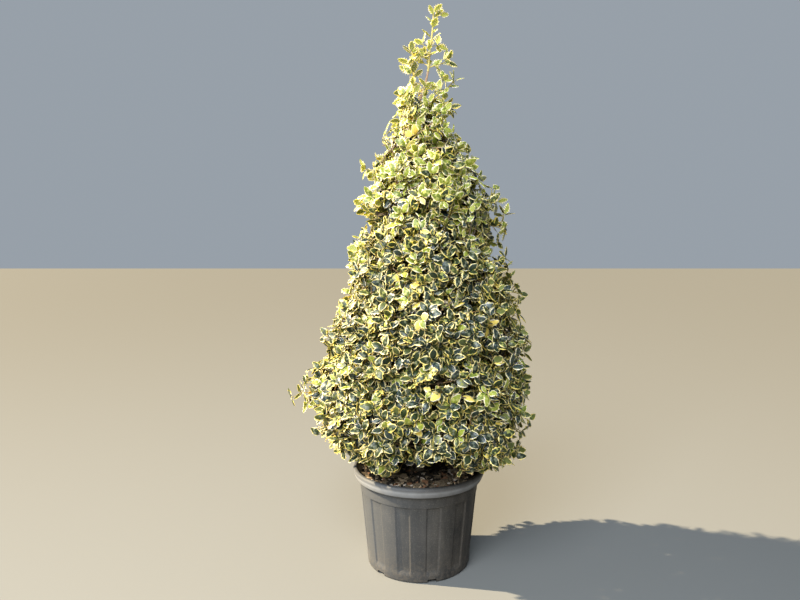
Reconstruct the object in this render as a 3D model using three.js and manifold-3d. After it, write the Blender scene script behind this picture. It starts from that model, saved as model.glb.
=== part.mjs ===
// A variegated holly trained as a cone, standing in a fluted nursery container.
// Millimetres, +Z up. The origin is the middle of the container's flat underside, on the ground.
// The photograph's left is -X, its right is +X, and its front is -Y.
import * as THREE from "three";
import { mergeVertices } from "three/addons/utils/BufferGeometryUtils.js";
import Module from "manifold-3d";

const wasm = await Module();
wasm.setup();

const CLEARANCE = 0.3; // between touching pieces
const TURN = Math.PI * 2;
const GOLDEN_ANGLE = Math.PI * (3 - Math.sqrt(5));

// The container: a tapered shell with a flared rim, a plain band below it and flutes down to the foot
const POT_HEIGHT = 475;
const RIM_RADIUS = 315; // outside, at the top
const RIM_DEPTH = 50; // height of the flared skirt
const RIM_FLARE = 15; // how much wider the skirt is at its top
const LIP_WIDTH = 17;
const UNDER_RIM_RADIUS = 291;
const FOOT_RADIUS = 248;
const FOOT_CHAMFER = 7;
const WALL = 7;
const FLOOR = 12;
const FLUTES = 24; // every second one is recessed
const FLUTE_DEPTH = 4;
const FLUTE_EDGE = THREE.MathUtils.degToRad(0.6); // half the width of the sloping edge
const FLUTE_LOW = 62;
const FLUTE_HIGH = 366;
const FLUTE_FADE = 32; // the height over which a flute runs out at the foot
const BAND_STEP = 2; // how far the plain band stands out over the flutes
const RECESS_AZIMUTH = THREE.MathUtils.degToRad(13 - 90); // middle of the recess right of the front
const DRAIN_NOTCHES = 6;
const NOTCH = { width: 44, height: 17, depth: 26 };

// The compost: level under the trunk, slightly crowned and lumpy elsewhere
const SOIL_TOP = 447;
const SOIL_DROP = 12; // lower at the wall than in the middle
const SOIL_LUMP = 7;
const SOIL_LEVEL_RADIUS = 62;
const SOIL_RINGS = 5;

// The trunk, as points up its middle, and its radii from the cut at the compost to the last point
const TRUNK_ROUTE = [
  [0, 0, SOIL_TOP + CLEARANCE],
  [-4, 3, 700],
  [2, -3, 1100],
  [-4, 3, 1600],
  [-14, 0, 2050],
  [-14, 0, 2170],
  [18, 0, 2250],
  [38, 0, 2335],
].map((p) => new THREE.Vector3(...p));
const TRUNK_RADIUS = { foot: 24, tip: 5, flare: 13, flareHeight: 70 };
const TRUNK_SIDES = 10;
const TRUNK_FINE = 90; // the flare's rings end here
const TRUNK_STEP = 320; // between rings above the flare
const TRUNK_BEND = 2090; // above this the trunk bends more, and its rings are closer
const TRUNK_BEND_STEP = 50;
const BUTTRESSES = { count: 5, share: 0.14 };

// The crown's outline: how far it reaches from the trunk to the left and to the right at each height
const CROWN_HEIGHTS = [490, 560, 700, 840, 960, 1140, 1320, 1500, 1700, 1840, 1950, 2050, 2150, 2300, 2440];
const REACH_LEFT = [340, 435, 525, 570, 505, 430, 365, 325, 275, 240, 215, 145, 95, 85, 70];
const REACH_RIGHT = [440, 500, 540, 550, 545, 510, 470, 400, 385, 335, 260, 205, 180, 185, 120];
const LOBES = 0.06; // the outline swells and sinks by this share

// Rows of boughs up the trunk. Each bough leaves the trunk a drop below its row's height, and
// carries one mass of foliage, centred at about that height.
const ROWS = [
  { name: "bottom", height: 665, count: 6, turn: 10, drop: 95 },
  { name: "low", height: 960, count: 5, turn: 40, drop: 140 },
  { name: "middle", height: 1250, count: 4, turn: 4, drop: 150 },
  { name: "upper", height: 1520, count: 4, turn: 49, drop: 150 },
  { name: "high", height: 1775, count: 3, turn: 0, drop: 120 },
  { name: "top", height: 2010, count: 2, turn: 30, drop: 70 },
];
const ROW_UNEVEN = { azimuth: 0.12, height: 26 }; // a share of the row's step, and a height
const MASS_CENTRE = 0.62; // share of the reach at which a mass is centred
const BOUGH_END = { share: 0.29, below: 0.25 }; // where a bough enters its mass
const BOUGH_BEND = { along: 0.55, sag: 0.16 };
const BOUGH_ROOT = { share: 0.42, most: 9 }; // its radius, as a share of the trunk's there
const LIMB_TAPER = 0.72;
const LIMB_SIDES = 5;
const STEM_END = { share: 0.66, above: 10 };
const STEM_LEAD = 25; // a mass's stem runs straight on from its bough for this far

// The dense inside of the crown, which is shared out among the masses as their cores
const CORE_INSET = 100; // inside the crown's outline
const CORE_LOW = 525;
const CORE_HIGH = 2070;
const CORE_RINGS = 9;
const CORE_SIDES = 12;
const CORE_LUMP = 20;
const CORE_LEAST = 45; // its radius at the top, at least
const CORE_INNER = 0.32; // the share of the reach round the trunk that the cores leave open
const CORE_TRUNK_GAP = 12;

// Shoots end evenly all over the crown, and each carries a whorl of leaves
const SHOOTS = 110;
const SHOOT_LOW = 510;
const SHOOT_HIGH = 2170;
const SHOOT_SLICES = 300; // for sharing them out by height
const SHOOT_INSET = 68; // inside the crown's outline
const SHOOT_UNEVEN = 12;
const SHOOT_ROOM = 26; // between a shoot's end and the edge of its mass's space
const SHOOT_RADIUS = { root: 4.6, tip: 4 };

// Sprays that stand out past the rest: their azimuths in degrees, their heights and their insets
const SPRAYS = [
  { azimuth: 180, height: 822, inset: 0 },
  { azimuth: 180, height: 1905, inset: 15 },
  { azimuth: 0, height: 1345, inset: 35 },
  { azimuth: 0, height: 1650, inset: 20 },
  { azimuth: 0, height: 1808, inset: 5 },
];
const FORK = { first: 0.5, range: 0.45 }; // where shoots leave a mass's stem
const WHORL = 4;
const WHORL_TIP = 4; // from a shoot's end to its first leaf
const WHORL_STEP = 9; // between two leaves along a shoot
const WHORL_RISE = 0.25; // how much a whorl turns up towards the light

// Leaves are larger than life, so that fewer cover the crown
const LEAF = { length: 120, width: 68, fold: 8, sunk: 1, widest: 0.46, stalk: 0.1 };
const LEAF_LEAN = { least: 0.55, range: 0.5 }; // away from its shoot's way, in radians
const LEAF_SIZE = { least: 0.9, range: 0.2, shrink: 0.022 }; // each further try is smaller
const LEAF_TRIES = 14;
const LEAF_TRY_TURN = 0.7;
const LEAF_UP = 0.9; // how much leaves face the sky
const LEAF_UP_LIMIT = 0.96; // a leaf that points more nearly the way it faces is skipped
const TOP_LEAF = 0.68; // the light tops' leaves are smaller by this
const TOP_LEAVES = { first: 0.28, last: 0.97 }; // where they sit along their stem or twig
const SPACE_GAP = 1.2; // between a leaf and the edge of its mass's space
const LIMB_GAP = 4;
const RIM_GAP = 5; // leaves keep this far over the rim

// The kinds of chance draw
const DRAW = { azimuth: 1, height: 2, soil: 3, lean: 5, size: 6, fork: 8, lift: 9, core: 11 };

const materials = {
  pot: new THREE.MeshStandardMaterial({ color: 0x4b4b49, roughness: 0.72, metalness: 0 }),
  soil: new THREE.MeshStandardMaterial({ color: 0x33241a, roughness: 0.95, metalness: 0 }),
  bark: new THREE.MeshStandardMaterial({ color: 0x7a6a52, roughness: 0.85, metalness: 0 }),
  foliage: new THREE.MeshStandardMaterial({ color: 0x8d9a4e, roughness: 0.42, metalness: 0 }),
};

// A repeatable number from 0 to 1 for the nth draw of one kind
function chance(n, kind) {
  const wave = Math.sin(n * 12.9898 + kind * 78.233) * 43758.5453;
  return wave - Math.floor(wave);
}

function spread(n, kind) {
  return chance(n, kind) * 2 - 1;
}

function interpolate(values, height) {
  const last = CROWN_HEIGHTS.length - 1;
  if (height <= CROWN_HEIGHTS[0]) return values[0];
  if (height >= CROWN_HEIGHTS[last]) return values[last];
  const i = CROWN_HEIGHTS.findIndex((h) => h > height) - 1;
  const t = (height - CROWN_HEIGHTS[i]) / (CROWN_HEIGHTS[i + 1] - CROWN_HEIGHTS[i]);
  return THREE.MathUtils.lerp(values[i], values[i + 1], t);
}

// How far the crown reaches from the trunk at a height and an azimuth counted from +X
function reach(height, azimuth) {
  const right = (1 + Math.cos(azimuth)) / 2;
  const side = THREE.MathUtils.lerp(
    interpolate(REACH_LEFT, height),
    interpolate(REACH_RIGHT, height),
    right,
  );
  const lobe = Math.sin(azimuth * 5 + height / 70) * Math.sin(azimuth * 2 - height / 110);
  return side * (1 + LOBES * lobe);
}

const trunkCurve = new THREE.CatmullRomCurve3(TRUNK_ROUTE, false, "centripetal");
const TRUNK_SAMPLES = trunkCurve.getPoints(400);

// The middle of the trunk at a height, kept to its top point above that
function trunkAt(height) {
  const above = TRUNK_SAMPLES.findIndex((p) => p.z >= height);
  if (above < 0) return TRUNK_SAMPLES[TRUNK_SAMPLES.length - 1].clone().setZ(height);
  if (above === 0) return TRUNK_SAMPLES[0].clone().setZ(height);
  const [low, high] = [TRUNK_SAMPLES[above - 1], TRUNK_SAMPLES[above]];
  return low.clone().lerp(high, (height - low.z) / (high.z - low.z));
}

function trunkRadius(height) {
  const foot = TRUNK_ROUTE[0].z;
  const top = TRUNK_ROUTE[TRUNK_ROUTE.length - 1].z;
  const up = THREE.MathUtils.clamp((height - foot) / (top - foot), 0, 1);
  const flare = TRUNK_RADIUS.flare * Math.exp(-(height - foot) / (TRUNK_RADIUS.flareHeight / 2));
  return THREE.MathUtils.lerp(TRUNK_RADIUS.foot, TRUNK_RADIUS.tip, up) + flare;
}

function outward(azimuth) {
  return new THREE.Vector3(Math.cos(azimuth), Math.sin(azimuth), 0);
}

// A point at a share of the crown's reach, or further in by an inset
function inCrown(height, azimuth, share, inset = 0) {
  return trunkAt(height).addScaledVector(outward(azimuth), reach(height, azimuth) * share - inset);
}

function closedGeometry(positions, faces) {
  const geometry = new THREE.BufferGeometry();
  geometry.setAttribute("position", new THREE.Float32BufferAttribute(positions, 3));
  geometry.setIndex(faces);
  return geometry;
}

// Rings of the same number of points, joined in order and closed at each end: by a fan, or by one
// face where a ring is a triangle
function skin(rings) {
  const count = rings[0].length;
  const positions = rings.flat().flatMap((p) => [p.x, p.y, p.z]);
  const faces = [];
  for (let r = 0; r + 1 < rings.length; r++) {
    for (let i = 0; i < count; i++) {
      const [a, b] = [r * count + i, r * count + ((i + 1) % count)];
      faces.push(a, b, b + count, a, b + count, a + count);
    }
  }
  for (const [ring, turned] of [[0, true], [rings.length - 1, false]]) {
    if (count === 3) {
      const corners = [0, 1, 2].map((i) => ring * count + i);
      faces.push(...(turned ? corners.reverse() : corners));
      continue;
    }
    const middle = rings[ring].reduce((sum, p) => sum.add(p), new THREE.Vector3()).divideScalar(count);
    const hub = positions.length / 3;
    positions.push(middle.x, middle.y, middle.z);
    for (let i = 0; i < count; i++) {
      const [a, b] = [ring * count + i, ring * count + ((i + 1) % count)];
      faces.push(hub, turned ? b : a, turned ? a : b);
    }
  }
  return closedGeometry(positions, faces);
}

// A limb along a route, with a flat cut at each end
function limb(route, radiusAt, sides, steps) {
  const curve = new THREE.CatmullRomCurve3(route, false, "centripetal");
  const frames = curve.computeFrenetFrames(steps, false);
  const rings = [];
  for (let s = 0; s <= steps; s++) {
    const middle = curve.getPointAt(s / steps);
    const radius = radiusAt(s / steps, middle);
    rings.push(
      Array.from({ length: sides }, (_, i) => {
        const angle = (i / sides) * TURN;
        return middle
          .clone()
          .addScaledVector(frames.normals[s], Math.cos(angle) * radius)
          .addScaledVector(frames.binormals[s], Math.sin(angle) * radius);
      }),
    );
  }
  return skin(rings);
}

function solidOf(geometry) {
  const bare = geometry.clone();
  for (const name of Object.keys(bare.attributes)) if (name !== "position") bare.deleteAttribute(name);
  const merged = mergeVertices(bare, 1e-4);
  const solid = new wasm.Manifold(
    new wasm.Mesh({
      numProp: 3,
      vertProperties: new Float32Array(merged.attributes.position.array),
      triVerts: new Uint32Array(merged.index.array),
    }),
  );
  if (solid.volume() <= 0) throw new Error("a solid is inside out");
  return solid;
}

function geometryOf(solid) {
  const mesh = solid.getMesh();
  const positions = [];
  for (let i = 0; i < mesh.numVert; i++) {
    positions.push(...mesh.vertProperties.subarray(i * mesh.numProp, i * mesh.numProp + 3));
  }
  return closedGeometry(positions, Array.from(mesh.triVerts));
}

// The one body of a solid that matters, without any scrap that a cut has left loose
function largest(solid) {
  return solid.decompose().reduce((best, body) => (body.volume() > best.volume() ? body : best));
}

const plant = new THREE.Group();

function place(name, geometry, material) {
  const mesh = new THREE.Mesh(geometry, material);
  mesh.name = name;
  plant.add(mesh);
}

// Columns round the container: each flute's two edges, with how recessed they are
const FLUTE_STEP = TURN / FLUTES;
const COLUMNS = Array.from({ length: FLUTES * 2 }, (_, i) => {
  const flute = Math.floor(i / 2);
  const side = i % 2 === 0 ? -1 : 1;
  const angle = RECESS_AZIMUTH + flute * FLUTE_STEP + side * (FLUTE_STEP / 2 - FLUTE_EDGE);
  return { angle, recessed: 1 - (flute % 2) };
});

function ringAt(radius, height, columns = COLUMNS, sink = 0) {
  return columns.map(({ angle, recessed }) =>
    outward(angle).multiplyScalar(radius - sink * recessed).setZ(height),
  );
}

function wallRadius(height) {
  return THREE.MathUtils.mapLinear(height, 0, POT_HEIGHT - RIM_DEPTH, FOOT_RADIUS, UNDER_RIM_RADIUS);
}

function innerRadius(height) {
  return wallRadius(height) - WALL - FLUTE_DEPTH;
}

function buildPot() {
  const rimLow = POT_HEIGHT - RIM_DEPTH;
  const lipEdge = 6;
  const rings = [
    ringAt(FOOT_RADIUS - FOOT_CHAMFER, 0),
    ringAt(wallRadius(FOOT_CHAMFER), FOOT_CHAMFER),
    ringAt(wallRadius(FLUTE_LOW - FLUTE_FADE), FLUTE_LOW - FLUTE_FADE),
    ringAt(wallRadius(FLUTE_LOW) - BAND_STEP, FLUTE_LOW, COLUMNS, FLUTE_DEPTH),
    ringAt(wallRadius(FLUTE_HIGH) - BAND_STEP, FLUTE_HIGH, COLUMNS, FLUTE_DEPTH),
    ringAt(wallRadius(FLUTE_HIGH + BAND_STEP), FLUTE_HIGH + BAND_STEP),
    ringAt(UNDER_RIM_RADIUS, rimLow),
    ringAt(RIM_RADIUS - RIM_FLARE, rimLow),
    ringAt(RIM_RADIUS, POT_HEIGHT - lipEdge),
    ringAt(RIM_RADIUS - lipEdge / 2, POT_HEIGHT),
    ringAt(RIM_RADIUS - LIP_WIDTH, POT_HEIGHT),
    ringAt(innerRadius(rimLow), rimLow),
    ringAt(innerRadius(FLOOR), FLOOR),
  ];
  let pot = solidOf(skin(rings));
  const notch = new THREE.BoxGeometry(NOTCH.depth, NOTCH.width, NOTCH.height * 2);
  for (let i = 0; i < DRAIN_NOTCHES; i++) {
    const angle = RECESS_AZIMUTH + (i / DRAIN_NOTCHES) * TURN;
    const cutter = notch.clone().translate(FOOT_RADIUS, 0, 0).rotateZ(angle);
    pot = pot.subtract(solidOf(cutter));
  }
  return pot;
}

function buildSoil() {
  const columns = Array.from({ length: FLUTES }, (_, i) => ({
    angle: RECESS_AZIMUTH + (i + 0.5) * FLUTE_STEP,
    recessed: 0,
  }));
  const rings = [ringAt(innerRadius(FLOOR) - CLEARANCE * 2, FLOOR + CLEARANCE, columns)];
  const rimHeight = SOIL_TOP - SOIL_DROP;
  const edgeRadius = innerRadius(rimHeight) - CLEARANCE * 2;
  rings.push(ringAt(edgeRadius, rimHeight, columns));
  for (let r = 1; r < SOIL_RINGS; r++) {
    const t = r / (SOIL_RINGS - 1);
    const radius = THREE.MathUtils.lerp(edgeRadius, SOIL_LEVEL_RADIUS, t);
    const crowned = SOIL_TOP - SOIL_DROP * (1 - t) ** 1.5;
    const ring = ringAt(radius, crowned, columns);
    if (t < 1) {
      ring.forEach((p, i) => {
        p.z += SOIL_LUMP * (spread(r * FLUTES + i, DRAW.soil) - 0.5);
      });
    }
    rings.push(ring);
  }
  return solidOf(skin(rings));
}

// The trunk in level rings, so that its foot is a level cut, and the same fatter by a clearance,
// which cuts what meets it
function buildTrunk(extra = 0) {
  const foot = TRUNK_ROUTE[0].z;
  const top = TRUNK_ROUTE[TRUNK_ROUTE.length - 1].z;
  const heights = [0, 0.15, 0.4, 1].map((share) => foot + TRUNK_FINE * share);
  while (heights.at(-1) < TRUNK_BEND - TRUNK_STEP) heights.push(heights.at(-1) + TRUNK_STEP);
  for (let height = TRUNK_BEND; height < top - 1; height += TRUNK_BEND_STEP) heights.push(height);
  heights.push(top + extra);
  const rings = heights.map((height) => {
    const middle = trunkAt(height);
    const fade = Math.exp((-2 * (height - foot)) / TRUNK_RADIUS.flareHeight);
    return Array.from({ length: TRUNK_SIDES }, (_, i) => {
      const angle = (i / TRUNK_SIDES) * TURN;
      const buttress = 1 + BUTTRESSES.share * fade * Math.cos(BUTTRESSES.count * angle);
      return middle.clone().addScaledVector(outward(angle), trunkRadius(height) * buttress + extra);
    });
  });
  return solidOf(skin(rings));
}

const trunk = buildTrunk();
const trunkSleeve = buildTrunk(CLEARANCE);

// Each mass of foliage: where it is centred, and the bough that it grows from
function planMasses() {
  const masses = [];
  ROWS.forEach((row, r) => {
    for (let i = 0; i < row.count; i++) {
      const draw = r * 10 + i;
      const step = TURN / row.count;
      const uneven = ROW_UNEVEN.azimuth * spread(draw, DRAW.azimuth);
      const azimuth = THREE.MathUtils.degToRad(row.turn) + step * (i + uneven);
      const height = row.height + ROW_UNEVEN.height * spread(draw, DRAW.height);
      const onTrunk = trunkAt(height - row.drop);
      const end = inCrown(height - row.drop * BOUGH_END.below, azimuth, BOUGH_END.share);
      const bend = onTrunk.clone().lerp(end, BOUGH_BEND.along);
      bend.z -= row.drop * BOUGH_BEND.sag;
      masses.push({
        name: row.name + "_" + (i + 1),
        height,
        azimuth,
        centre: inCrown(height, azimuth, MASS_CENTRE),
        route: [onTrunk, bend, end],
        root: Math.min(BOUGH_ROOT.share * trunkRadius(onTrunk.z), BOUGH_ROOT.most),
      });
    }
  });
  return masses;
}

const MASSES = planMasses();

// The light tops: the trunk's own tip with a side twig, the second leader left of it, and a side spray
const TOPS = [
  {
    name: "leader",
    centre: [90, 0, 2440],
    stem: [[38, 0, 2335], [46, 2, 2420], [50, 0, 2500], [50, 0, 2585]],
    twig: [[42, 1, 2380], [90, -20, 2395], [120, -30, 2420]],
    root: TRUNK_RADIUS.tip,
    leaves: 18,
  },
  {
    name: "second_leader",
    centre: [-80, 4, 2330],
    stem: [[-14, 0, 2150], [-30, 2, 2230], [-28, 4, 2330], [-42, 0, 2425]],
    twig: [[-29, 2, 2260], [-52, 30, 2300], [-58, 45, 2340]],
    root: 5,
    leaves: 16,
  },
  {
    name: "side_spray",
    centre: [110, 0, 2215],
    stem: [[-6, 0, 2192], [60, -14, 2205], [110, -8, 2240], [145, 0, 2290]],
    twig: [[48, -12, 2202], [95, -24, 2182], [138, -30, 2165]],
    root: 4.5,
    leaves: 14,
  },
].map((top) => ({
  ...top,
  centre: new THREE.Vector3(...top.centre),
  stem: top.stem.map((p) => new THREE.Vector3(...p)),
  twig: top.twig.map((p) => new THREE.Vector3(...p)),
}));

const CENTRES = [...MASSES, ...TOPS].map(({ name, centre }) => ({ name, centre }));

// The planes halfway to each other mass's centre, which bound a mass's own space
function spaceOf(name) {
  const own = CENTRES.find((c) => c.name === name).centre;
  return CENTRES.filter((c) => c.name !== name).map(({ centre }) => {
    const normal = centre.clone().sub(own).normalize();
    const halfway = own.clone().lerp(centre, 0.5).dot(normal);
    return new THREE.Plane(normal, -halfway);
  });
}

function inSpace(point, space, gap) {
  return space.every((plane) => plane.distanceToPoint(point) < -gap);
}

// Every limb as a chain of short straight pieces, which leaves keep clear of
const CHAIN_PIECES = 12;

function chainOf(owner, route, radiusAt) {
  const points = new THREE.CatmullRomCurve3(route, false, "centripetal").getPoints(CHAIN_PIECES);
  return points.slice(1).map((end, i) => ({
    owner,
    line: new THREE.Line3(points[i], end),
    radius: radiusAt(i / CHAIN_PIECES, points[i]),
  }));
}

function boughTaper(mass) {
  return (t) => THREE.MathUtils.lerp(mass.root, mass.root * LIMB_TAPER, t);
}

const LIMBS = [
  ...chainOf("trunk", TRUNK_ROUTE, (_, point) => trunkRadius(point.z)),
  ...MASSES.flatMap((mass) => chainOf("bough_" + mass.name, mass.route, boughTaper(mass))),
  ...TOPS.flatMap((top) => chainOf(top.name, top.stem, () => top.root)),
];

function clearOfLimbs(points, owner) {
  const middle = points.reduce((sum, p) => sum.add(p), new THREE.Vector3()).divideScalar(points.length);
  const size = Math.max(...points.map((p) => p.distanceTo(middle)));
  const near = new THREE.Vector3();
  return LIMBS.every(({ owner: other, line, radius }) => {
    if (other === owner) return true;
    line.closestPointToPoint(middle, true, near);
    if (near.distanceTo(middle) > size + radius + LIMB_GAP) return true;
    return points.every((p) => line.closestPointToPoint(p, true, near).distanceTo(p) > radius + LIMB_GAP);
  });
}

function clearOfPot(points) {
  return points.every((p) => Math.hypot(p.x, p.y) > RIM_RADIUS + RIM_GAP || p.z > POT_HEIGHT + RIM_GAP);
}

// One leaf: a tetrahedron, whose upper ridge is the midrib and whose lower one runs from side to
// side, so that its outline is a kite. `from` leaves out that share of it at the stalk.
function leafGeometry(base, along, up, size, from = 0) {
  const geometry = new THREE.TetrahedronGeometry(1, 0);
  const position = geometry.getAttribute("position");
  const side = along.clone().cross(up).normalize();
  const face = side.clone().cross(along).normalize();
  for (let i = 0; i < position.count; i++) {
    const [x, y, z] = [position.getX(i), position.getY(i), position.getZ(i)].map(Math.sign);
    const lengthwise = z > 0 ? Math.max((x + y) / 4 + 0.5, from) : LEAF.widest;
    const point = base
      .clone()
      .addScaledVector(along, lengthwise * LEAF.length * size - LEAF.sunk)
      .addScaledVector(side, (((x - y) / 2) * LEAF.width * size) / 2)
      .addScaledVector(face, z > 0 ? 0 : -LEAF.fold * size);
    position.setXYZ(i, point.x, point.y, point.z);
  }
  return geometry;
}

function cornersOf(geometry) {
  const position = geometry.getAttribute("position");
  const corner = (_, i) => new THREE.Vector3().fromBufferAttribute(position, i);
  return Array.from({ length: position.count }, corner);
}

function boxesMeet(a, b) {
  const [boxA, boxB] = [a.boundingBox(), b.boundingBox()];
  return [0, 1, 2].every((k) => boxA.min[k] < boxB.max[k] && boxB.min[k] < boxA.max[k]);
}

function crosses(blade, others) {
  return others.some((other) => boxesMeet(blade, other) && !blade.intersect(other).isEmpty());
}

// Which way a leaf points: it leans away from its shoot's way, and further tries turn it round
function leafWay(shootWay, draw, attempt) {
  const turn = draw * GOLDEN_ANGLE + attempt * LEAF_TRY_TURN;
  const lean = LEAF_LEAN.least + LEAF_LEAN.range * chance(draw + attempt * 17, DRAW.lean);
  const aside = new THREE.Vector3(0, 0, 1).cross(shootWay).normalize();
  const above = shootWay.clone().cross(aside).normalize();
  return shootWay
    .clone()
    .multiplyScalar(Math.cos(lean))
    .addScaledVector(aside, Math.sin(lean) * Math.cos(turn))
    .addScaledVector(above, Math.sin(lean) * Math.sin(turn))
    .normalize();
}

// A leaf that fits its owner's space and crosses no other of its leaves, or nothing if no try does
function fittingLeaf({ base, shootWay, draw, owner, space, scale, others }) {
  const up = shootWay.clone().add(new THREE.Vector3(0, 0, LEAF_UP)).normalize();
  for (let attempt = 0; attempt < LEAF_TRIES; attempt++) {
    const along = leafWay(shootWay, draw, attempt);
    if (Math.abs(along.dot(up)) > LEAF_UP_LIMIT) continue;
    const own = LEAF_SIZE.least + LEAF_SIZE.range * chance(draw, DRAW.size);
    const size = scale * own * (1 - LEAF_SIZE.shrink * attempt);
    const leaf = leafGeometry(base, along, up, size);
    const corners = cornersOf(leaf);
    const blade = corners.filter((p) => p.distanceTo(base) > LEAF.sunk * 2);
    if (!corners.every((p) => inSpace(p, space, SPACE_GAP))) continue;
    if (!clearOfLimbs(blade, owner) || !clearOfPot(corners)) continue;
    const outer = solidOf(leafGeometry(base, along, up, size, LEAF.stalk));
    if (crosses(outer, others)) continue;
    others.push(outer);
    return solidOf(leaf);
  }
  return null;
}

// Where the shoots end: evenly by area over the crown, on a golden spiral, and then the sprays
function shootEnds() {
  const heightOf = (slice) => THREE.MathUtils.lerp(SHOOT_LOW, SHOOT_HIGH, (slice + 0.5) / SHOOT_SLICES);
  const areas = Array.from({ length: SHOOT_SLICES }, (_, slice) => {
    const height = heightOf(slice);
    return (reach(height, 0) + reach(height, Math.PI)) / 2;
  });
  const total = areas.reduce((a, b) => a + b, 0);
  const ends = [];
  let slice = 0;
  let passed = 0;
  for (let n = 0; n < SHOOTS; n++) {
    const wanted = ((n + 0.5) / SHOOTS) * total;
    while (passed + areas[slice] < wanted) {
      passed += areas[slice];
      slice += 1;
    }
    const azimuth = n * GOLDEN_ANGLE;
    ends.push({ draw: n, azimuth, point: inCrown(heightOf(slice), azimuth, 1, SHOOT_INSET) });
  }
  SPRAYS.forEach((spray, i) => {
    const azimuth = THREE.MathUtils.degToRad(spray.azimuth);
    ends.push({ draw: SHOOTS + i, azimuth, point: inCrown(spray.height, azimuth, 1, spray.inset) });
  });
  return ends;
}

function nearestMass(point) {
  return CENTRES.reduce((best, c) =>
    c.centre.distanceTo(point) < best.centre.distanceTo(point) ? c : best,
  ).name;
}

// The crown's dense inside: a lumpy cone, open round the trunk
function crownInside() {
  const heights = Array.from({ length: CORE_RINGS }, (_, r) =>
    THREE.MathUtils.lerp(CORE_LOW, CORE_HIGH, r / (CORE_RINGS - 1)),
  );
  const ringOf = (height, radiusAt) =>
    Array.from({ length: CORE_SIDES }, (_, i) => {
      const azimuth = (i / CORE_SIDES) * TURN;
      return trunkAt(height).addScaledVector(outward(azimuth), radiusAt(azimuth, i));
    });
  const outer = heights.map((height, r) =>
    ringOf(height, (azimuth, i) => {
      const lump = CORE_LUMP * spread(r * CORE_SIDES + i, DRAW.core);
      return Math.max(reach(height, azimuth) - CORE_INSET + lump, CORE_LEAST);
    }),
  );
  const past = [CORE_LOW - 1, ...heights.slice(1, -1), CORE_HIGH + 1];
  const open = past.map((height) =>
    ringOf(height, (azimuth) => {
      const far = reach(height, azimuth);
      const least = trunkRadius(height) + CORE_TRUNK_GAP;
      return Math.max(Math.min(far * CORE_INNER, far - CORE_INSET - 2 * CORE_LUMP), least);
    }),
  );
  return solidOf(skin(outer)).subtract(solidOf(skin(open)));
}

const CROWN_INSIDE = crownInside();

// A mass's share of the crown's dense inside
function coreOf(space) {
  return space.reduce(
    (body, { normal, constant }) =>
      body.trimByPlane([-normal.x, -normal.y, -normal.z], constant + SPACE_GAP),
    CROWN_INSIDE,
  );
}

// The bough of a mass, cut clear of the trunk, and the sleeve that cuts its mass clear of it
function boughOf(mass, extra = 0) {
  const radiusAt = (t) => boughTaper(mass)(t) + extra;
  return solidOf(limb(mass.route, radiusAt, LIMB_SIDES, 3));
}

// A stem that carries on from a bough's end, 0.3 mm clear of it
function stemFrom(bough, target) {
  const end = bough[bough.length - 1];
  const way = end.clone().sub(bough[bough.length - 2]).normalize();
  const start = end.clone().addScaledVector(way, CLEARANCE);
  return [start, start.clone().addScaledVector(way, STEM_LEAD), target];
}

// Where a shoot forks off its mass's stem
function forkOn(stem, draw) {
  const curve = new THREE.CatmullRomCurve3(stem, false, "centripetal");
  return curve.getPoint(FORK.first + FORK.range * chance(draw, DRAW.fork));
}

// Moves a shoot's end away from the edges of its space, so that its leaves fit
function settle(point, space, room) {
  const settled = point.clone();
  for (const plane of space) {
    const over = plane.distanceToPoint(settled) + room;
    if (over > 0) settled.addScaledVector(plane.normal, -over);
  }
  return settled;
}

const SHOOT_ENDS = shootEnds();

// A shoot from the mass's stem, with its whorl of leaves
function shootWithWhorl({ draw, azimuth, point }, stem, mass, space, leaves) {
  const lifted = point.clone().setZ(point.z + SHOOT_UNEVEN * spread(draw, DRAW.lift));
  const end = settle(lifted, space, SHOOT_ROOM);
  const fork = forkOn(stem, draw);
  const radiusAt = (t) => THREE.MathUtils.lerp(SHOOT_RADIUS.root, SHOOT_RADIUS.tip, t);
  const parts = [solidOf(limb([fork, end], radiusAt, 3, 1))];
  const way = end.clone().sub(fork).normalize();
  const whorlWay = way.clone().multiplyScalar(0.5).add(outward(azimuth));
  whorlWay.setZ(way.z / 2 + WHORL_RISE).normalize();
  for (let i = 0; i < WHORL; i++) {
    const leaf = fittingLeaf({
      base: end.clone().addScaledVector(way, -WHORL_TIP - WHORL_STEP * i),
      shootWay: whorlWay,
      draw: draw * WHORL + i,
      owner: mass.name,
      space,
      scale: 1,
      others: leaves,
    });
    if (leaf) parts.push(leaf);
  }
  return parts;
}

function buildMass(mass) {
  const space = spaceOf(mass.name);
  const stemEnd = inCrown(mass.height + STEM_END.above, mass.azimuth, STEM_END.share);
  const stem = stemFrom(mass.route, stemEnd);
  const stemRadius = (t) => THREE.MathUtils.lerp(mass.root * LIMB_TAPER, SHOOT_RADIUS.root, t);
  const core = coreOf(space);
  const parts = [core, solidOf(limb(stem, stemRadius, 4, 2))];
  const leaves = [core];
  for (const shoot of SHOOT_ENDS) {
    if (nearestMass(shoot.point) !== mass.name) continue;
    parts.push(...shootWithWhorl(shoot, stem, mass, space, leaves));
  }
  const sleeve = boughOf(mass, CLEARANCE * 3);
  return largest(wasm.Manifold.union(parts).subtract(sleeve).subtract(trunkSleeve));
}

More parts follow.
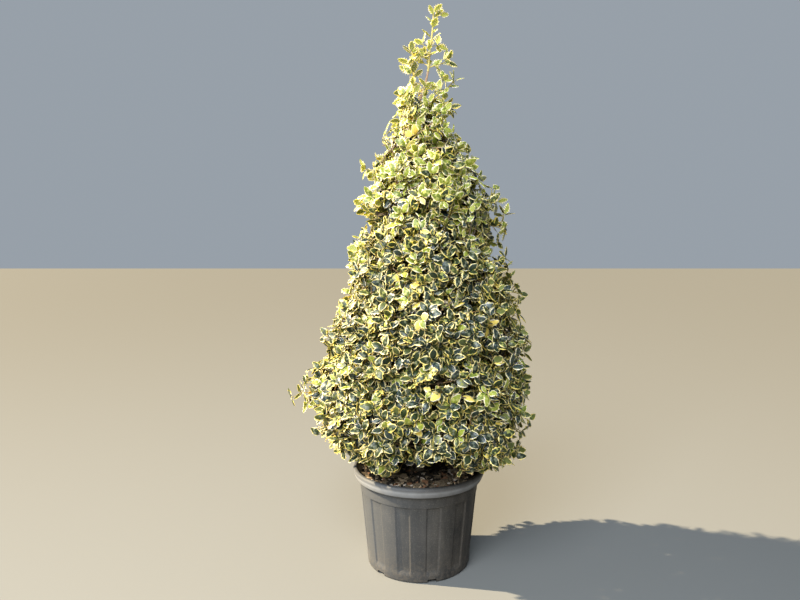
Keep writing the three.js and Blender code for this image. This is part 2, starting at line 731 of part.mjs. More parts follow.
// A light top: a thin stem and a side twig, with leaves set singly along both
function buildTop(top) {
  const space = spaceOf(top.name);
  const start = top.stem[0].clone();
  const way = top.stem[1].clone().sub(start).normalize();
  const stem = [start.addScaledVector(way, CLEARANCE), ...top.stem.slice(1)];
  const stemRadius = (t) => THREE.MathUtils.lerp(top.root, SHOOT_RADIUS.tip, t);
  const parts = [
    solidOf(limb(stem, stemRadius, 4, 4)),
    solidOf(limb(top.twig, () => SHOOT_RADIUS.tip, 3, 2)),
  ];
  const curves = [stem, stem, top.twig].map((p) => new THREE.CatmullRomCurve3(p, false, "centripetal"));
  const leaves = [];
  for (let i = 0; i < top.leaves; i++) {
    const curve = curves[i % curves.length];
    const t = THREE.MathUtils.lerp(TOP_LEAVES.first, TOP_LEAVES.last, i / (top.leaves - 1));
    const leaf = fittingLeaf({
      base: curve.getPointAt(t),
      shootWay: curve.getTangentAt(t),
      draw: i,
      owner: top.name,
      space,
      scale: TOP_LEAF,
      others: leaves,
    });
    if (leaf) parts.push(leaf);
  }
  return largest(wasm.Manifold.union(parts).subtract(trunkSleeve));
}

place("pot", geometryOf(buildPot()), materials.pot);
place("soil", geometryOf(buildSoil()), materials.soil);
place("trunk", geometryOf(trunk), materials.bark);
for (const mass of MASSES) {
  place("bough_" + mass.name, geometryOf(largest(boughOf(mass).subtract(trunkSleeve))), materials.bark);
  place("foliage_" + mass.name, geometryOf(buildMass(mass)), materials.foliage);
}
for (const top of TOPS) {
  place("foliage_" + top.name, geometryOf(buildTop(top)), materials.foliage);
}

export default plant;
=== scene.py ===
import math
import bmesh
import bpy
import numpy as np
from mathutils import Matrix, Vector


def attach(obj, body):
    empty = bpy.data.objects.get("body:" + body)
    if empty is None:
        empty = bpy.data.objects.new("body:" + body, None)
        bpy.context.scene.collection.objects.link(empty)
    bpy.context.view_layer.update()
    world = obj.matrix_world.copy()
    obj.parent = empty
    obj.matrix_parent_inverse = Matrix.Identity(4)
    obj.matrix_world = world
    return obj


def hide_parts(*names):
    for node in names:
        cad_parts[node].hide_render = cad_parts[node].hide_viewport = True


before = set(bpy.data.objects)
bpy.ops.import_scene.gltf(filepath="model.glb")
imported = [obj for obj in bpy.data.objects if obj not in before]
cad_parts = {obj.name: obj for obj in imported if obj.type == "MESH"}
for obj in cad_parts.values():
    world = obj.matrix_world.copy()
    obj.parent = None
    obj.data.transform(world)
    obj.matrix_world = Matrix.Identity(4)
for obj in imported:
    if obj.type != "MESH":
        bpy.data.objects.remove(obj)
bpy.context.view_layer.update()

# The container: a nursery tub moulded in one piece from dark recycled plastic, and dusty. Painted sunlight
# makes the plastic and its dust paler and bluer on the side towards the sun, and painted shade darkens the
# top of its lip. Its wall tapers to the foot under a plain band and a flared rim with a rolled lip. Its
# flutes are raised and recessed in turn, and six drainage notches are cut into the foot.
POT_HEIGHT = 0.475
POT_COLUMNS = 480
RIM_RADIUS = 0.319
RIM_DEPTH = 0.050
RIM_FLARE = 0.014
RIM_BEND = (0.60, 0.40)  # where the rim's wall bends: shares of its flare and of its depth
LIP_WIDTH = 0.018
LIP_ROUND = 0.004  # on the inside of the lip
LIP_ROLL = 0.012  # on the outside, where the lip rolls over
UNDER_RIM_RADIUS = 0.288
SKIRT_ROUND = 0.0025
FOOT_RADIUS = 0.247
FOOT_ROUND = 0.009
WALL = 0.011
FLOOR = 0.012
FLUTES = 24
FLUTE_DEPTH = 0.0052
FLUTE_FLANK = 2  # columns that a flute's sloping side takes
FLUTE_LOW = 0.062
FLUTE_HIGH = 0.366
FLUTE_FADE = 0.032
FLUTE_SLOPE = 0.0022  # height of the slope at the top of a flute
BAND_STEP = 0.002
BAND_RING = 0.40
INNER_RING = 0.2
RECESS_AZIMUTH = math.radians(13 - 90)
DRAIN_NOTCHES = 6
NOTCH_SIZE = (0.052, 0.044, 0.034)
NOTCH_CORNER = 0.006
EDGE_ROUND = 0.0007
EDGE_ANGLE = math.radians(34)
SMOOTH_ANGLE = math.radians(32)
# The pale bluish plastic colour and the paler dust colour are painted sunlight on the side towards the sun
# (-X).
PLASTIC = {
    "dark": (0.028, 0.026, 0.024), "worn": (0.058, 0.051, 0.044), "streak": (0.108, 0.098, 0.084),
    "painted_sunlight": (0.122, 0.132, 0.143), "splash": (0.20, 0.165, 0.125), "fleck": (0.25, 0.235, 0.20),
    "dust_and_painted_shade": (0.248, 0.254, 0.264), "dust_in_painted_sunlight": (0.540, 0.548, 0.555),
}


def deselect():
    if bpy.context.object and bpy.context.object.mode == "EDIT":
        bpy.ops.object.mode_set(mode="OBJECT")
    bpy.ops.object.select_all(action="DESELECT")


def pick(piece):
    """Selects one piece alone and makes it the active one."""
    deselect()
    piece.select_set(True)
    bpy.context.view_layer.objects.active = piece


def edit(piece):
    pick(piece)
    bpy.ops.object.mode_set(mode="EDIT")


def begin(name):
    """Names the shape just added, makes its place and size its own, and opens it with all selected."""
    piece = bpy.context.object
    piece.name = name
    bpy.ops.object.transform_apply(location=True, rotation=True, scale=True)
    edit(piece)
    bpy.ops.mesh.select_all(action="SELECT")
    return piece


def close_up():
    """Turns all faces of the open piece outward and leaves edit mode."""
    bpy.ops.mesh.select_all(action="SELECT")
    bpy.ops.mesh.normals_make_consistent(inside=False)
    bpy.ops.object.mode_set(mode="OBJECT")


def resize(value, centre):
    """Resizes what is selected about a place, by one scale for a ring or by three."""
    value = value if isinstance(value, tuple) else (value, value, 1)
    bpy.ops.transform.resize(value=value, center_override=centre)


def move(value):
    bpy.ops.transform.translate(value=value)


def held(value, low=0, high=1):
    """A value kept from passing a lowest and a highest one."""
    return min(max(value, low), high)


def near(first, second):
    return abs(first - second) < 1e-4


def select_points(piece, test):
    """Selects the points of the piece in edit mode whose place passes a test."""
    bpy.ops.mesh.select_mode(type="VERT")
    bpy.ops.mesh.select_all(action="DESELECT")
    points = bmesh.from_edit_mesh(piece.data)
    for point in points.verts:
        point.select = bool(test(point.co))
    points.select_flush_mode()
    bmesh.update_edit_mesh(piece.data)


def corner(radius, height, size, start, end, steps=4):
    """Points of a profile round a corner, centred there, from one angle in degrees to another."""
    angles = np.radians(np.linspace(start, end, steps + 1))
    return [(radius + size * math.cos(a), height + size * math.sin(a)) for a in angles]


def turned(name, profile, columns, azimuth=0):
    """A closed body of revolution: a circle, extruded ring by ring up a profile of radii and heights."""
    deselect()
    bpy.ops.mesh.primitive_circle_add(vertices=columns, radius=profile[0][0], rotation=(0, 0, azimuth))
    piece = begin(name)
    move((0, 0, profile[0][1]))
    bpy.ops.mesh.edge_face_add()
    bpy.ops.mesh.select_mode(type="EDGE")
    for (radius, height), (wider, higher) in zip(profile, profile[1:]):
        bpy.ops.mesh.extrude_edges_move(TRANSFORM_OT_translate={"value": (0, 0, higher - height)})
        resize(wider / radius, (0, 0, higher))
    bpy.ops.mesh.edge_face_add()
    close_up()
    return piece


def wall_radius(height):
    share = height / (POT_HEIGHT - RIM_DEPTH)
    return FOOT_RADIUS + (UNDER_RIM_RADIUS - FOOT_RADIUS) * share


def flute_share(height):
    """How deep a flute is at a height: it runs out at its foot and ends in a slope at its top."""
    rise = held((height - FLUTE_LOW + FLUTE_FADE) / FLUTE_FADE)
    return rise * rise * (3 - 2 * rise) * held((FLUTE_HIGH + FLUTE_SLOPE - height) / FLUTE_SLOPE)


def pot_profile():
    under_rim = POT_HEIGHT - RIM_DEPTH
    fade = np.linspace(FLUTE_LOW - FLUTE_FADE, FLUTE_LOW, 7)
    shaft = np.linspace(FLUTE_LOW, FLUTE_HIGH, 9)[1:]
    slope = [FLUTE_HIGH + FLUTE_SLOPE, FLUTE_HIGH + 3 * FLUTE_SLOPE]
    inner_rim = RIM_RADIUS - LIP_WIDTH
    foot = FOOT_RADIUS - FOOT_ROUND
    skirt = RIM_RADIUS - RIM_FLARE
    return [
        *corner(foot, FOOT_ROUND, FOOT_ROUND, -90, 0, 5),
        *[(wall_radius(h), h) for h in (*fade, *shaft, *slope, BAND_RING, under_rim - SKIRT_ROUND)],
        *corner(UNDER_RIM_RADIUS + SKIRT_ROUND, under_rim - SKIRT_ROUND, SKIRT_ROUND, 180, 90, 3),
        *corner(skirt - SKIRT_ROUND, under_rim + SKIRT_ROUND, SKIRT_ROUND, -90, 0, 3),
        (skirt + RIM_FLARE * RIM_BEND[0], under_rim + RIM_DEPTH * RIM_BEND[1]),
        *corner(RIM_RADIUS - LIP_ROLL, POT_HEIGHT - LIP_ROLL, LIP_ROLL, 0, 90, 8),
        *corner(inner_rim + LIP_ROUND, POT_HEIGHT - LIP_ROUND, LIP_ROUND, 90, 180, 5),
        *[(wall_radius(h) - WALL, h) for h in (under_rim, INNER_RING, FLOOR)],
    ]


def in_recess(place, inset):
    """Whether a place lies in a recessed flute, at least so many columns inside its edge."""
    turn = (math.atan2(place.y, place.x) - RECESS_AZIMUTH) / (math.tau / FLUTES)
    flute = round(turn)
    return flute % 2 == 0 and abs(turn - flute) < 0.5 - (inset - 0.5) * FLUTES / POT_COLUMNS


def sink_flutes(pot):
    """Draws each ring of the fluted part in: a little all round, and more in every second flute."""
    edit(pot)
    heights = {round(h, 5) for _, h in pot_profile() if flute_share(h) > 0}
    for height in sorted(heights):
        wall = wall_radius(height)
        depth = flute_share(height)

        def on_ring(place):
            return near(place.z, height) and place.xy.length > wall - WALL / 2

        select_points(pot, on_ring)
        resize(1 - BAND_STEP * depth / wall, (0, 0, height))
        for column in range(FLUTE_FLANK):
            select_points(pot, lambda p: on_ring(p) and in_recess(p, column + 1))
            resize(1 - FLUTE_DEPTH / FLUTE_FLANK * depth / wall, (0, 0, height))
    bpy.ops.object.mode_set(mode="OBJECT")


def apply_modifier(piece, kind, **settings):
    pick(piece)
    modifier = piece.modifiers.new(kind.lower(), kind)
    for name, value in settings.items():
        setattr(modifier, name, value)
    bpy.ops.object.modifier_apply(modifier=modifier.name)


def cut_notches(pot):
    for i in range(DRAIN_NOTCHES):
        angle = RECESS_AZIMUTH + i * math.tau / DRAIN_NOTCHES
        place = (FOOT_RADIUS * math.cos(angle), FOOT_RADIUS * math.sin(angle), 0)
        deselect()
        bpy.ops.mesh.primitive_cube_add(size=1, location=place, rotation=(0, 0, angle), scale=NOTCH_SIZE)
        cutter = bpy.context.object
        bpy.ops.object.transform_apply(location=True, rotation=True, scale=True)
        apply_modifier(cutter, "BEVEL", width=NOTCH_CORNER, segments=3, limit_method="ANGLE")
        apply_modifier(pot, "BOOLEAN", operation="DIFFERENCE", object=cutter, solver="EXACT")
        bpy.data.objects.remove(cutter)


def feed(tree, node, inputs):
    """Gives a shader node its inputs, as values, as colours or as links from other nodes."""
    for name, value in inputs.items():
        socket = node.inputs[name]
        if isinstance(value, bpy.types.NodeSocket):
            tree.links.new(value, socket)
        else:
            socket.default_value = (*value, 1) if socket.type == "RGBA" else value


def add_node(tree, kind, inputs, **settings):
    node = tree.nodes.new(kind)
    for name, value in settings.items():
        setattr(node, name, value)
    feed(tree, node, inputs)
    return node


def new_material(name):
    """A material with its node tree, its surface shader and its Object coordinates."""
    material = bpy.data.materials.new(name)
    material.use_nodes = True
    tree = material.node_tree
    shader = next(n for n in tree.nodes if n.type == "BSDF_PRINCIPLED")
    place = tree.nodes.new("ShaderNodeTexCoord").outputs["Object"]
    return material, tree, shader, place


def ramp(tree, factor, stops):
    """A colour ramp with stops of a position and a grey or a colour."""
    node = add_node(tree, "ShaderNodeValToRGB", {"Fac": factor})
    elements = node.color_ramp.elements
    while len(elements) < len(stops):
        elements.new(0.5)
    for element, (position, colour) in zip(elements, stops):
        element.position = position
        element.color = (*colour, 1) if isinstance(colour, tuple) else (colour, colour, colour, 1)
    return node.outputs["Color"]


def noise(tree, place, scale, detail=4, rough=0.5, stretch=(1, 1, 1)):
    if stretch != (1, 1, 1):
        place = add_node(tree, "ShaderNodeMapping", {"Vector": place, "Scale": stretch}).outputs["Vector"]
    inputs = {"Vector": place, "Scale": scale, "Detail": detail, "Roughness": rough}
    return add_node(tree, "ShaderNodeTexNoise", inputs).outputs["Fac"]


def spots(tree, place, low, high, *grain):
    """Spots of noise, from none below one level of it to full above another."""
    return ramp(tree, noise(tree, place, *grain), [(low, 0.0), (high, 1.0)])


def mix_colours(tree, factor, first, second):
    inputs = {0: factor, 6: first, 7: second}
    return add_node(tree, "ShaderNodeMix", inputs, data_type="RGBA").outputs[2]


def maths(tree, operation, first, second):
    return add_node(tree, "ShaderNodeMath", {0: first, 1: second}, operation=operation).outputs[0]


def bump(tree, shader, height, distance, strength):
    inputs = {"Height": height, "Distance": distance, "Strength": strength}
    feed(tree, shader, {"Normal": add_node(tree, "ShaderNodeBump", inputs).outputs["Normal"]})


def share_along(tree, place, axis, start, end):
    """How far along an axis a place is from one coordinate to another, from 0 to 1."""
    value = add_node(tree, "ShaderNodeSeparateXYZ", {"Vector": place}).outputs[axis]
    inputs = {"Value": value, "From Min": start, "From Max": end}
    return add_node(tree, "ShaderNodeMapRange", inputs).outputs["Result"]


def weathered_plastic_with_painted_light():
    material, tree, shader, place = new_material("weathered_plastic_with_painted_light")
    mottle = spots(tree, place, 0.36, 0.68, 7, 6, 0.62)
    streaks = spots(tree, place, 0.42, 0.7, 22, 5, 0.6, (1, 1, 0.12))
    speckle = spots(tree, place, 0.56, 0.68, 260, 3, 0.6)
    plastic = mix_colours(tree, mottle, PLASTIC["dark"], PLASTIC["worn"])
    streaked = mix_colours(tree, maths(tree, "MULTIPLY", streaks, 0.45), plastic, PLASTIC["streak"])
    # Painted sunlight: the plastic and its dust are made paler and bluer towards -X, the side the sun comes
    # from.
    painted_sunlight_side = ramp(tree, share_along(tree, place, "X", 0.19, -0.25), [(0.0, 0.0), (0.5, 0.27), (1.0, 0.8)])
    painted_sunlight = mix_colours(tree, painted_sunlight_side, streaked, PLASTIC["painted_sunlight"])
    splash = ramp(tree, share_along(tree, place, "Z", 0.0, 0.16), [(0.0, 1.0), (0.9, 0.0)])
    grit = maths(tree, "MULTIPLY", splash, spots(tree, place, 0.44, 0.6, 60, 6, 0.7))
    splashed_with_painted_sunlight = mix_colours(tree, maths(tree, "MULTIPLY", grit, 0.38), painted_sunlight, PLASTIC["splash"])
    # The rim's band of dust fades out on the top of the lip and leaves it dark: painted shade there.
    rim_dust_and_painted_shade_stops = [(0.0, 0.0), (0.2, 0.55), (0.56, 1.0), (0.74, 0.30), (1.0, 0.0)]
    rim_dust_and_painted_shade = ramp(tree, share_along(tree, place, "Z", 0.415, 0.475), rim_dust_and_painted_shade_stops)
    dust_and_painted_shade = maths(tree, "MULTIPLY", rim_dust_and_painted_shade, ramp(tree, noise(tree, place, 16, 6, 0.65), [(0.3, 0.6), (0.7, 1.0)]))
    dust_painted_lit_and_shaded = mix_colours(tree, painted_sunlight_side, PLASTIC["dust_and_painted_shade"], PLASTIC["dust_in_painted_sunlight"])
    dusted_with_painted_light = mix_colours(tree, dust_and_painted_shade, splashed_with_painted_sunlight, dust_painted_lit_and_shaded)
    flecked = mix_colours(tree, maths(tree, "MULTIPLY", speckle, 0.35), dusted_with_painted_light, PLASTIC["fleck"])
    gloss = ramp(tree, mottle, [(0.0, 0.5), (1.0, 0.72)])
    feed(tree, shader, {"Base Color": flecked, "Roughness": gloss, "Specular IOR Level": 0.42})
    grain = noise(tree, place, 900, 2, 0.5)
    scuffs = noise(tree, place, 120, 6, 0.75, (1, 1, 0.3))
    bump(tree, shader, maths(tree, "ADD", grain, maths(tree, "MULTIPLY", scuffs, 1.6)), 0.0005, 0.5)
    return material


def add_to_plant(piece, slot, *nodes):
    """Shades a finished piece, and says what it rides on and what it replaces. Its slot is not used."""
    pick(piece)
    bpy.ops.object.shade_smooth_by_angle(angle=SMOOTH_ANGLE)
    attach(piece, "root")
    if nodes:
        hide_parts(*nodes)


tub = turned("tub", pot_profile(), POT_COLUMNS, RECESS_AZIMUTH)
sink_flutes(tub)
apply_modifier(tub, "BEVEL", width=EDGE_ROUND, segments=2, limit_method="ANGLE", angle_limit=EDGE_ANGLE)
cut_notches(tub)
tub.data.materials.append(weathered_plastic_with_painted_light())
add_to_plant(tub, "container", "pot")

# The compost that the tub is filled with: dark, fibrous and crumbly, filled to a little under the rim
# and firmed, so that it stands slightly higher round the stem and its top is lumpy.
COMPOST_TOP = 0.447
COMPOST_DROP = 0.012
COMPOST_GAP = 0.0006
COMPOST_COLUMNS = 96
COMPOST_LEVEL_RADIUS = 0.062
COMPOST_LUMP = 0.007
COMPOST_SETTLED = 0.0025
COMPOST_RINGS = {"bottom": 0.10, "height": 0.25, "middle": 0.012}


def compost_height(radius):
    """How high the compost's top is at a distance from the stem, before its lumps."""
    edge = wall_radius(COMPOST_TOP) - WALL
    out = held((radius - COMPOST_LEVEL_RADIUS) / (edge - COMPOST_LEVEL_RADIUS))
    return COMPOST_TOP - COMPOST_SETTLED - COMPOST_DROP * out**1.5


def compost_profile():
    edge, side, foot = (
        wall_radius(h) - WALL - COMPOST_GAP
        for h in (COMPOST_TOP - COMPOST_DROP, COMPOST_RINGS["height"], FLOOR)
    )
    return [
        (COMPOST_RINGS["bottom"], FLOOR + COMPOST_GAP),
        (foot, FLOOR + COMPOST_GAP),
        (side, COMPOST_RINGS["height"]),
        *[(radius, compost_height(radius)) for radius in np.linspace(edge, COMPOST_RINGS["middle"], 22)],
    ]


def lump_top(piece, low, size, grain):
    """Raises and sinks the points above a height by soft lumps."""
    group = piece.vertex_groups.new(name="top")
    raised = [point.index for point in piece.data.vertices if point.co.z > low]
    group.add(raised, 1.0, "REPLACE")
    lumps = bpy.data.textures.new("lumps", "CLOUDS")
    lumps.noise_scale = grain
    lumps.noise_depth = 3
    apply_modifier(piece, "DISPLACE", texture=lumps, direction="Z", strength=size, vertex_group="top")
    piece.vertex_groups.clear()


def crumbly_compost():
    material, tree, shader, place = new_material("crumbly_compost")
    crumbs = noise(tree, place, 90, 8, 0.75)
    browns = [(0.3, (0.012, 0.008, 0.005)), (0.55, (0.045, 0.028, 0.017)), (0.75, (0.12, 0.075, 0.045))]
    feed(tree, shader, {"Base Color": ramp(tree, crumbs, browns), "Roughness": 0.95})
    bump(tree, shader, crumbs, 0.004, 0.9)
    return material


compost = turned("compost", compost_profile(), COMPOST_COLUMNS)
lump_top(compost, COMPOST_TOP - COMPOST_DROP * 1.5, COMPOST_LUMP, 0.03)
compost.data.materials.append(crumbly_compost())
add_to_plant(compost, "compost", "soil")

# The mulch on the compost: chipped conifer bark, dark and damp with a few fresh pale chips, thrown on
# by hand two or three chips deep. Each chip is a split and broken flake 15 to 50 mm long.
CHIP_COUNT = 1150
CHIP_EDGE = 0.265
CHIP_STEM_RADIUS = 0.036
CHIP_LENGTH = (0.016, 0.050)
CHIP_BED = (0.002, 0.014)  # the lowest chip's height over the compost, and the depth that they lie in
CHIP_ROUGHEN = 0.10  # how far a chip's corners are knocked out of true, as a share of its length
CHIP_SLOPE = 0.34
CHIP_TILT = 0.42
CHIP_SHAPES = [(1.0, 0.62, 0.20), (1.0, 0.45, 0.26), (1.0, 0.78, 0.16), (1.0, 0.55, 0.34), (1.0, 0.34, 0.22)]
CHIP_COLOURS = {
    "chip_dark": ((0.012, 0.010, 0.008), (0.075, 0.060, 0.042), 0.36),
    "chip_brown": ((0.080, 0.062, 0.040), (0.320, 0.250, 0.165), 0.28),
    "chip_red": ((0.150, 0.078, 0.040), (0.420, 0.240, 0.140), 0.14),
    "chip_tan": ((0.330, 0.250, 0.160), (0.700, 0.560, 0.390), 0.14),
    "chip_pale": ((0.550, 0.460, 0.370), (0.880, 0.800, 0.700), 0.08),
}


def model_chip(number, sizes):
    """A flake of bark: a block, split finer, knocked out of true and with one end broken narrower."""
    deselect()
    bpy.ops.mesh.primitive_cube_add(size=1, scale=sizes)
    chip = begin(f"chip_shape_{number}")
    bpy.ops.mesh.subdivide(number_cuts=1)
    bpy.ops.transform.vertex_random(offset=CHIP_ROUGHEN, seed=number)
    select_points(chip, lambda place: place.x > 0.3)
    resize((1, 0.6, 0.7), (0.5, 0, 0))
    bpy.ops.object.mode_set(mode="OBJECT")
    return chip


def shape_arrays(shape):
    """A modelled shape as arrays: its points, its faces' corners, their numbers and their kinds."""
    mesh = shape.data
    points = np.array([point.co for point in mesh.vertices])
    corners = np.array([loop.vertex_index for loop in mesh.loops])
    sizes = np.array([face.loop_total for face in mesh.polygons])
    kinds = np.array([face.material_index for face in mesh.polygons])
    bpy.data.objects.remove(shape)
    return points, corners, sizes, kinds


def join_copies(name, groups, materials):
    """One mesh of many copies. Each group is a shape's arrays, its copies' axes as the columns of
    matrices, their places, and for each copy the material slot of each kind of face."""
    points, corners, sizes, slots = [], [], [], []
    count = 0
    for (shape_points, shape_corners, shape_sizes, shape_kinds), axes, places, copy_slots in groups:
        copies = len(places)
        if copies == 0:
            continue
        points.append((np.einsum("nij,pj->npi", axes, shape_points) + places[:, None]).reshape(-1, 3))
        firsts = count + np.arange(copies) * len(shape_points)
        corners.append((firsts[:, None] + shape_corners).ravel())
        sizes.append(np.tile(shape_sizes, copies))
        slots.append(copy_slots[:, shape_kinds].ravel())
        count += copies * len(shape_points)
    points, corners, sizes, slots = (np.concatenate(a) for a in (points, corners, sizes, slots))
    mesh = bpy.data.meshes.new(name)
    mesh.vertices.add(count)
    mesh.vertices.foreach_set("co", points.astype(np.float32).ravel())
    mesh.loops.add(len(corners))
    mesh.loops.foreach_set("vertex_index", corners.astype(np.int32))
    mesh.polygons.add(len(sizes))
    mesh.polygons.foreach_set("loop_start", (np.cumsum(sizes) - sizes).astype(np.int32))
    for material in materials:
        mesh.materials.append(material)
    mesh.polygons.foreach_set("material_index", slots.astype(np.int32))
    mesh.update(calc_edges=True)
    mesh.validate()
    piece = bpy.data.objects.new(name, mesh)
    bpy.context.collection.objects.link(piece)
    return piece


def chip_bark(name, dark, light):
    material, tree, shader, place = new_material(name)
    fibres = noise(tree, place, 160, 6, 0.7, (1, 1, 2.2))
    feed(tree, shader, {"Base Color": ramp(tree, fibres, [(0.34, dark), (0.7, light)]), "Roughness": 0.88})
    bump(tree, shader, fibres, 0.0016, 0.8)
    return material


def scatter_mulch():
    draw = np.random.default_rng(5)
    radius = CHIP_EDGE * np.sqrt(draw.uniform((CHIP_STEM_RADIUS / CHIP_EDGE) ** 2, 1, CHIP_COUNT))
    azimuth = draw.uniform(0, math.tau, CHIP_COUNT)
    level = np.array([compost_height(r) for r in radius]) + COMPOST_LUMP * 0.3
    height = level + CHIP_BED[0] + CHIP_BED[1] * draw.uniform(0, 1, CHIP_COUNT) ** 1.4
    places = np.stack([radius * np.cos(azimuth), radius * np.sin(azimuth), height], 1)
    length = CHIP_LENGTH[0] + (CHIP_LENGTH[1] - CHIP_LENGTH[0]) * draw.uniform(0, 1, CHIP_COUNT) ** 1.5
    yaw = draw.uniform(0, math.tau, CHIP_COUNT)
    along = np.stack([np.cos(yaw), np.sin(yaw), draw.normal(0, CHIP_SLOPE, CHIP_COUNT)], 1)
    along /= np.linalg.norm(along, axis=1, keepdims=True)
    up = np.stack([*draw.normal(0, CHIP_TILT, (2, CHIP_COUNT)), np.ones(CHIP_COUNT)], 1)
    across = np.cross(up, along)
    across /= np.linalg.norm(across, axis=1, keepdims=True)
    axes = np.stack([along, across, np.cross(along, across)], 2) * length[:, None, None]
    shape_of = draw.integers(0, len(CHIP_SHAPES), CHIP_COUNT)
    shares = [share for _, _, share in CHIP_COLOURS.values()]
    colour_of = draw.choice(len(shares), CHIP_COUNT, p=np.array(shares) / sum(shares))
    groups = []
    for number, sizes in enumerate(CHIP_SHAPES):
        own = shape_of == number
        shape = shape_arrays(model_chip(number, sizes))
        groups.append((shape, axes[own], places[own], colour_of[own][:, None]))
    materials = [chip_bark(name, dark, light) for name, (dark, light, _) in CHIP_COLOURS.items()]
    return join_copies("mulch", groups, materials)


add_to_plant(scatter_mulch(), "compost")

# The trunk: one leading stem about 50 mm thick at the compost, with a slightly fluted root flare. It
# leans and wanders a little as it tapers to the tip of the leader. Holly bark is thin, grey and smooth,
# with fine wrinkles and corky flecks.
TRUNK_GAP = 0.0003
TRUNK_ROUTE = [
    (0, 0, COMPOST_TOP + TRUNK_GAP), (-0.004, 0.003, 0.7), (0.002, -0.003, 1.1), (-0.004, 0.003, 1.6),
    (-0.014, 0, 2.05), (-0.014, 0, 2.17), (0.018, 0, 2.25), (0.038, 0, 2.335),
]
TRUNK_FOOT = TRUNK_ROUTE[0][2]
TRUNK_TOP = TRUNK_ROUTE[-1][2]
TRUNK_RADIUS = {"foot": 0.024, "tip": 0.005, "flare": 0.013, "flare_height": 0.035}
TRUNK_SIDES = 20
FLARE_RINGS = (0.08, 9)  # the height over the foot up to which the rings lie close, and their number
STEM_RINGS = (0.10, 95)  # the height over the foot from which they lie further apart, and their number
BUTTRESSES = 5
BUTTRESS_SHARE = 0.14
BUTTRESS_RINGS = 7
BUTTRESS_WIDTH = 0.94  # the cosine of half the angle that a buttress takes up
BARK_GRAINS = {"bark_wrinkles": (0.022, 1.0), "bark_flecks": (0.006, 0.45)}
TRUNK_RELIEF = 0.0022


def smooth_route(route, steps):
    """Points on a smooth limb that runs through a few given ones (a centripetal spline)."""
    given = [Vector(p) for p in route]
    route = [given[0] * 2 - given[1], *given, given[-1] * 2 - given[-2]]
    points = []
    for step in range(steps + 1):
        along = step / steps * (len(given) - 1)
        first = min(int(along), len(given) - 2)
        a, b, c, d = route[first:first + 4]
        before, own, after = ((q - p).length ** 0.5 for p, q in ((a, b), (b, c), (c, d)))
        leaving = ((b - a) / before - (c - a) / (before + own) + (c - b) / own) * own
        arriving = ((c - b) / own - (d - b) / (own + after) + (d - c) / after) * own
        t = along - first
        points.append(
            b * (2 * t**3 - 3 * t**2 + 1)
            + leaving * (t**3 - 2 * t**2 + t)
            + c * (3 * t**2 - 2 * t**3)
            + arriving * (t**3 - t**2)
        )
    return points


TRUNK_LINE = np.array(smooth_route(TRUNK_ROUTE, 400))


def trunk_at(height):
    """The middle of the trunk at a height, kept to its tip above that."""
    x, y = (np.interp(height, TRUNK_LINE[:, 2], TRUNK_LINE[:, k]) for k in (0, 1))
    return Vector((x, y, height))


def trunk_radius(height):
    up = held((height - TRUNK_FOOT) / (TRUNK_TOP - TRUNK_FOOT))
    flare = TRUNK_RADIUS["flare"] * math.exp(-(height - TRUNK_FOOT) / TRUNK_RADIUS["flare_height"])
    return TRUNK_RADIUS["foot"] + (TRUNK_RADIUS["tip"] - TRUNK_RADIUS["foot"]) * up + flare


def model_trunk():
    """A circle at the compost, extruded ring by ring up the route, with its flare fluted."""
    foot = trunk_radius(TRUNK_FOOT)
    deselect()
    bpy.ops.mesh.primitive_circle_add(vertices=TRUNK_SIDES, radius=foot, location=TRUNK_ROUTE[0])
    trunk = begin("trunk_bark")
    bpy.ops.mesh.edge_face_add()
    bpy.ops.mesh.select_mode(type="EDGE")
    flare_top, flare_rings = FLARE_RINGS
    stem_start, stem_rings = STEM_RINGS
    heights = [
        *np.linspace(TRUNK_FOOT, TRUNK_FOOT + flare_top, flare_rings),
        *np.linspace(TRUNK_FOOT + stem_start, TRUNK_TOP, stem_rings),
    ]
    for low, high in zip(heights, heights[1:]):
        bpy.ops.mesh.extrude_edges_move(TRANSFORM_OT_translate={"value": trunk_at(high) - trunk_at(low)})
        resize(trunk_radius(high) / trunk_radius(low), trunk_at(high))
    bpy.ops.mesh.edge_face_add()
    for number in range(BUTTRESSES):
        angle = number * math.tau / BUTTRESSES
        way = Vector((math.cos(angle), math.sin(angle), 0))
        for height in heights[:BUTTRESS_RINGS]:
            fade = math.exp(-(height - TRUNK_FOOT) / TRUNK_RADIUS["flare_height"])

            def on_buttress(place):
                out = (place - trunk_at(height)).xy.normalized()
                return near(place.z, height) and out.dot(way.xy) > BUTTRESS_WIDTH

            select_points(trunk, on_buttress)
            move(way * BUTTRESS_SHARE * fade * trunk_radius(height))
    close_up()
    return trunk


def raise_bark(piece, size):
    """Wrinkles and flecks that stand out of a limb's surface, from two cloud textures."""
    for name, (grain, share) in BARK_GRAINS.items():
        texture = bpy.data.textures.new(name, "CLOUDS")
        texture.noise_scale = grain
        texture.noise_depth = 2
        apply_modifier(piece, "DISPLACE", texture=texture, strength=size * share, mid_level=0.5)


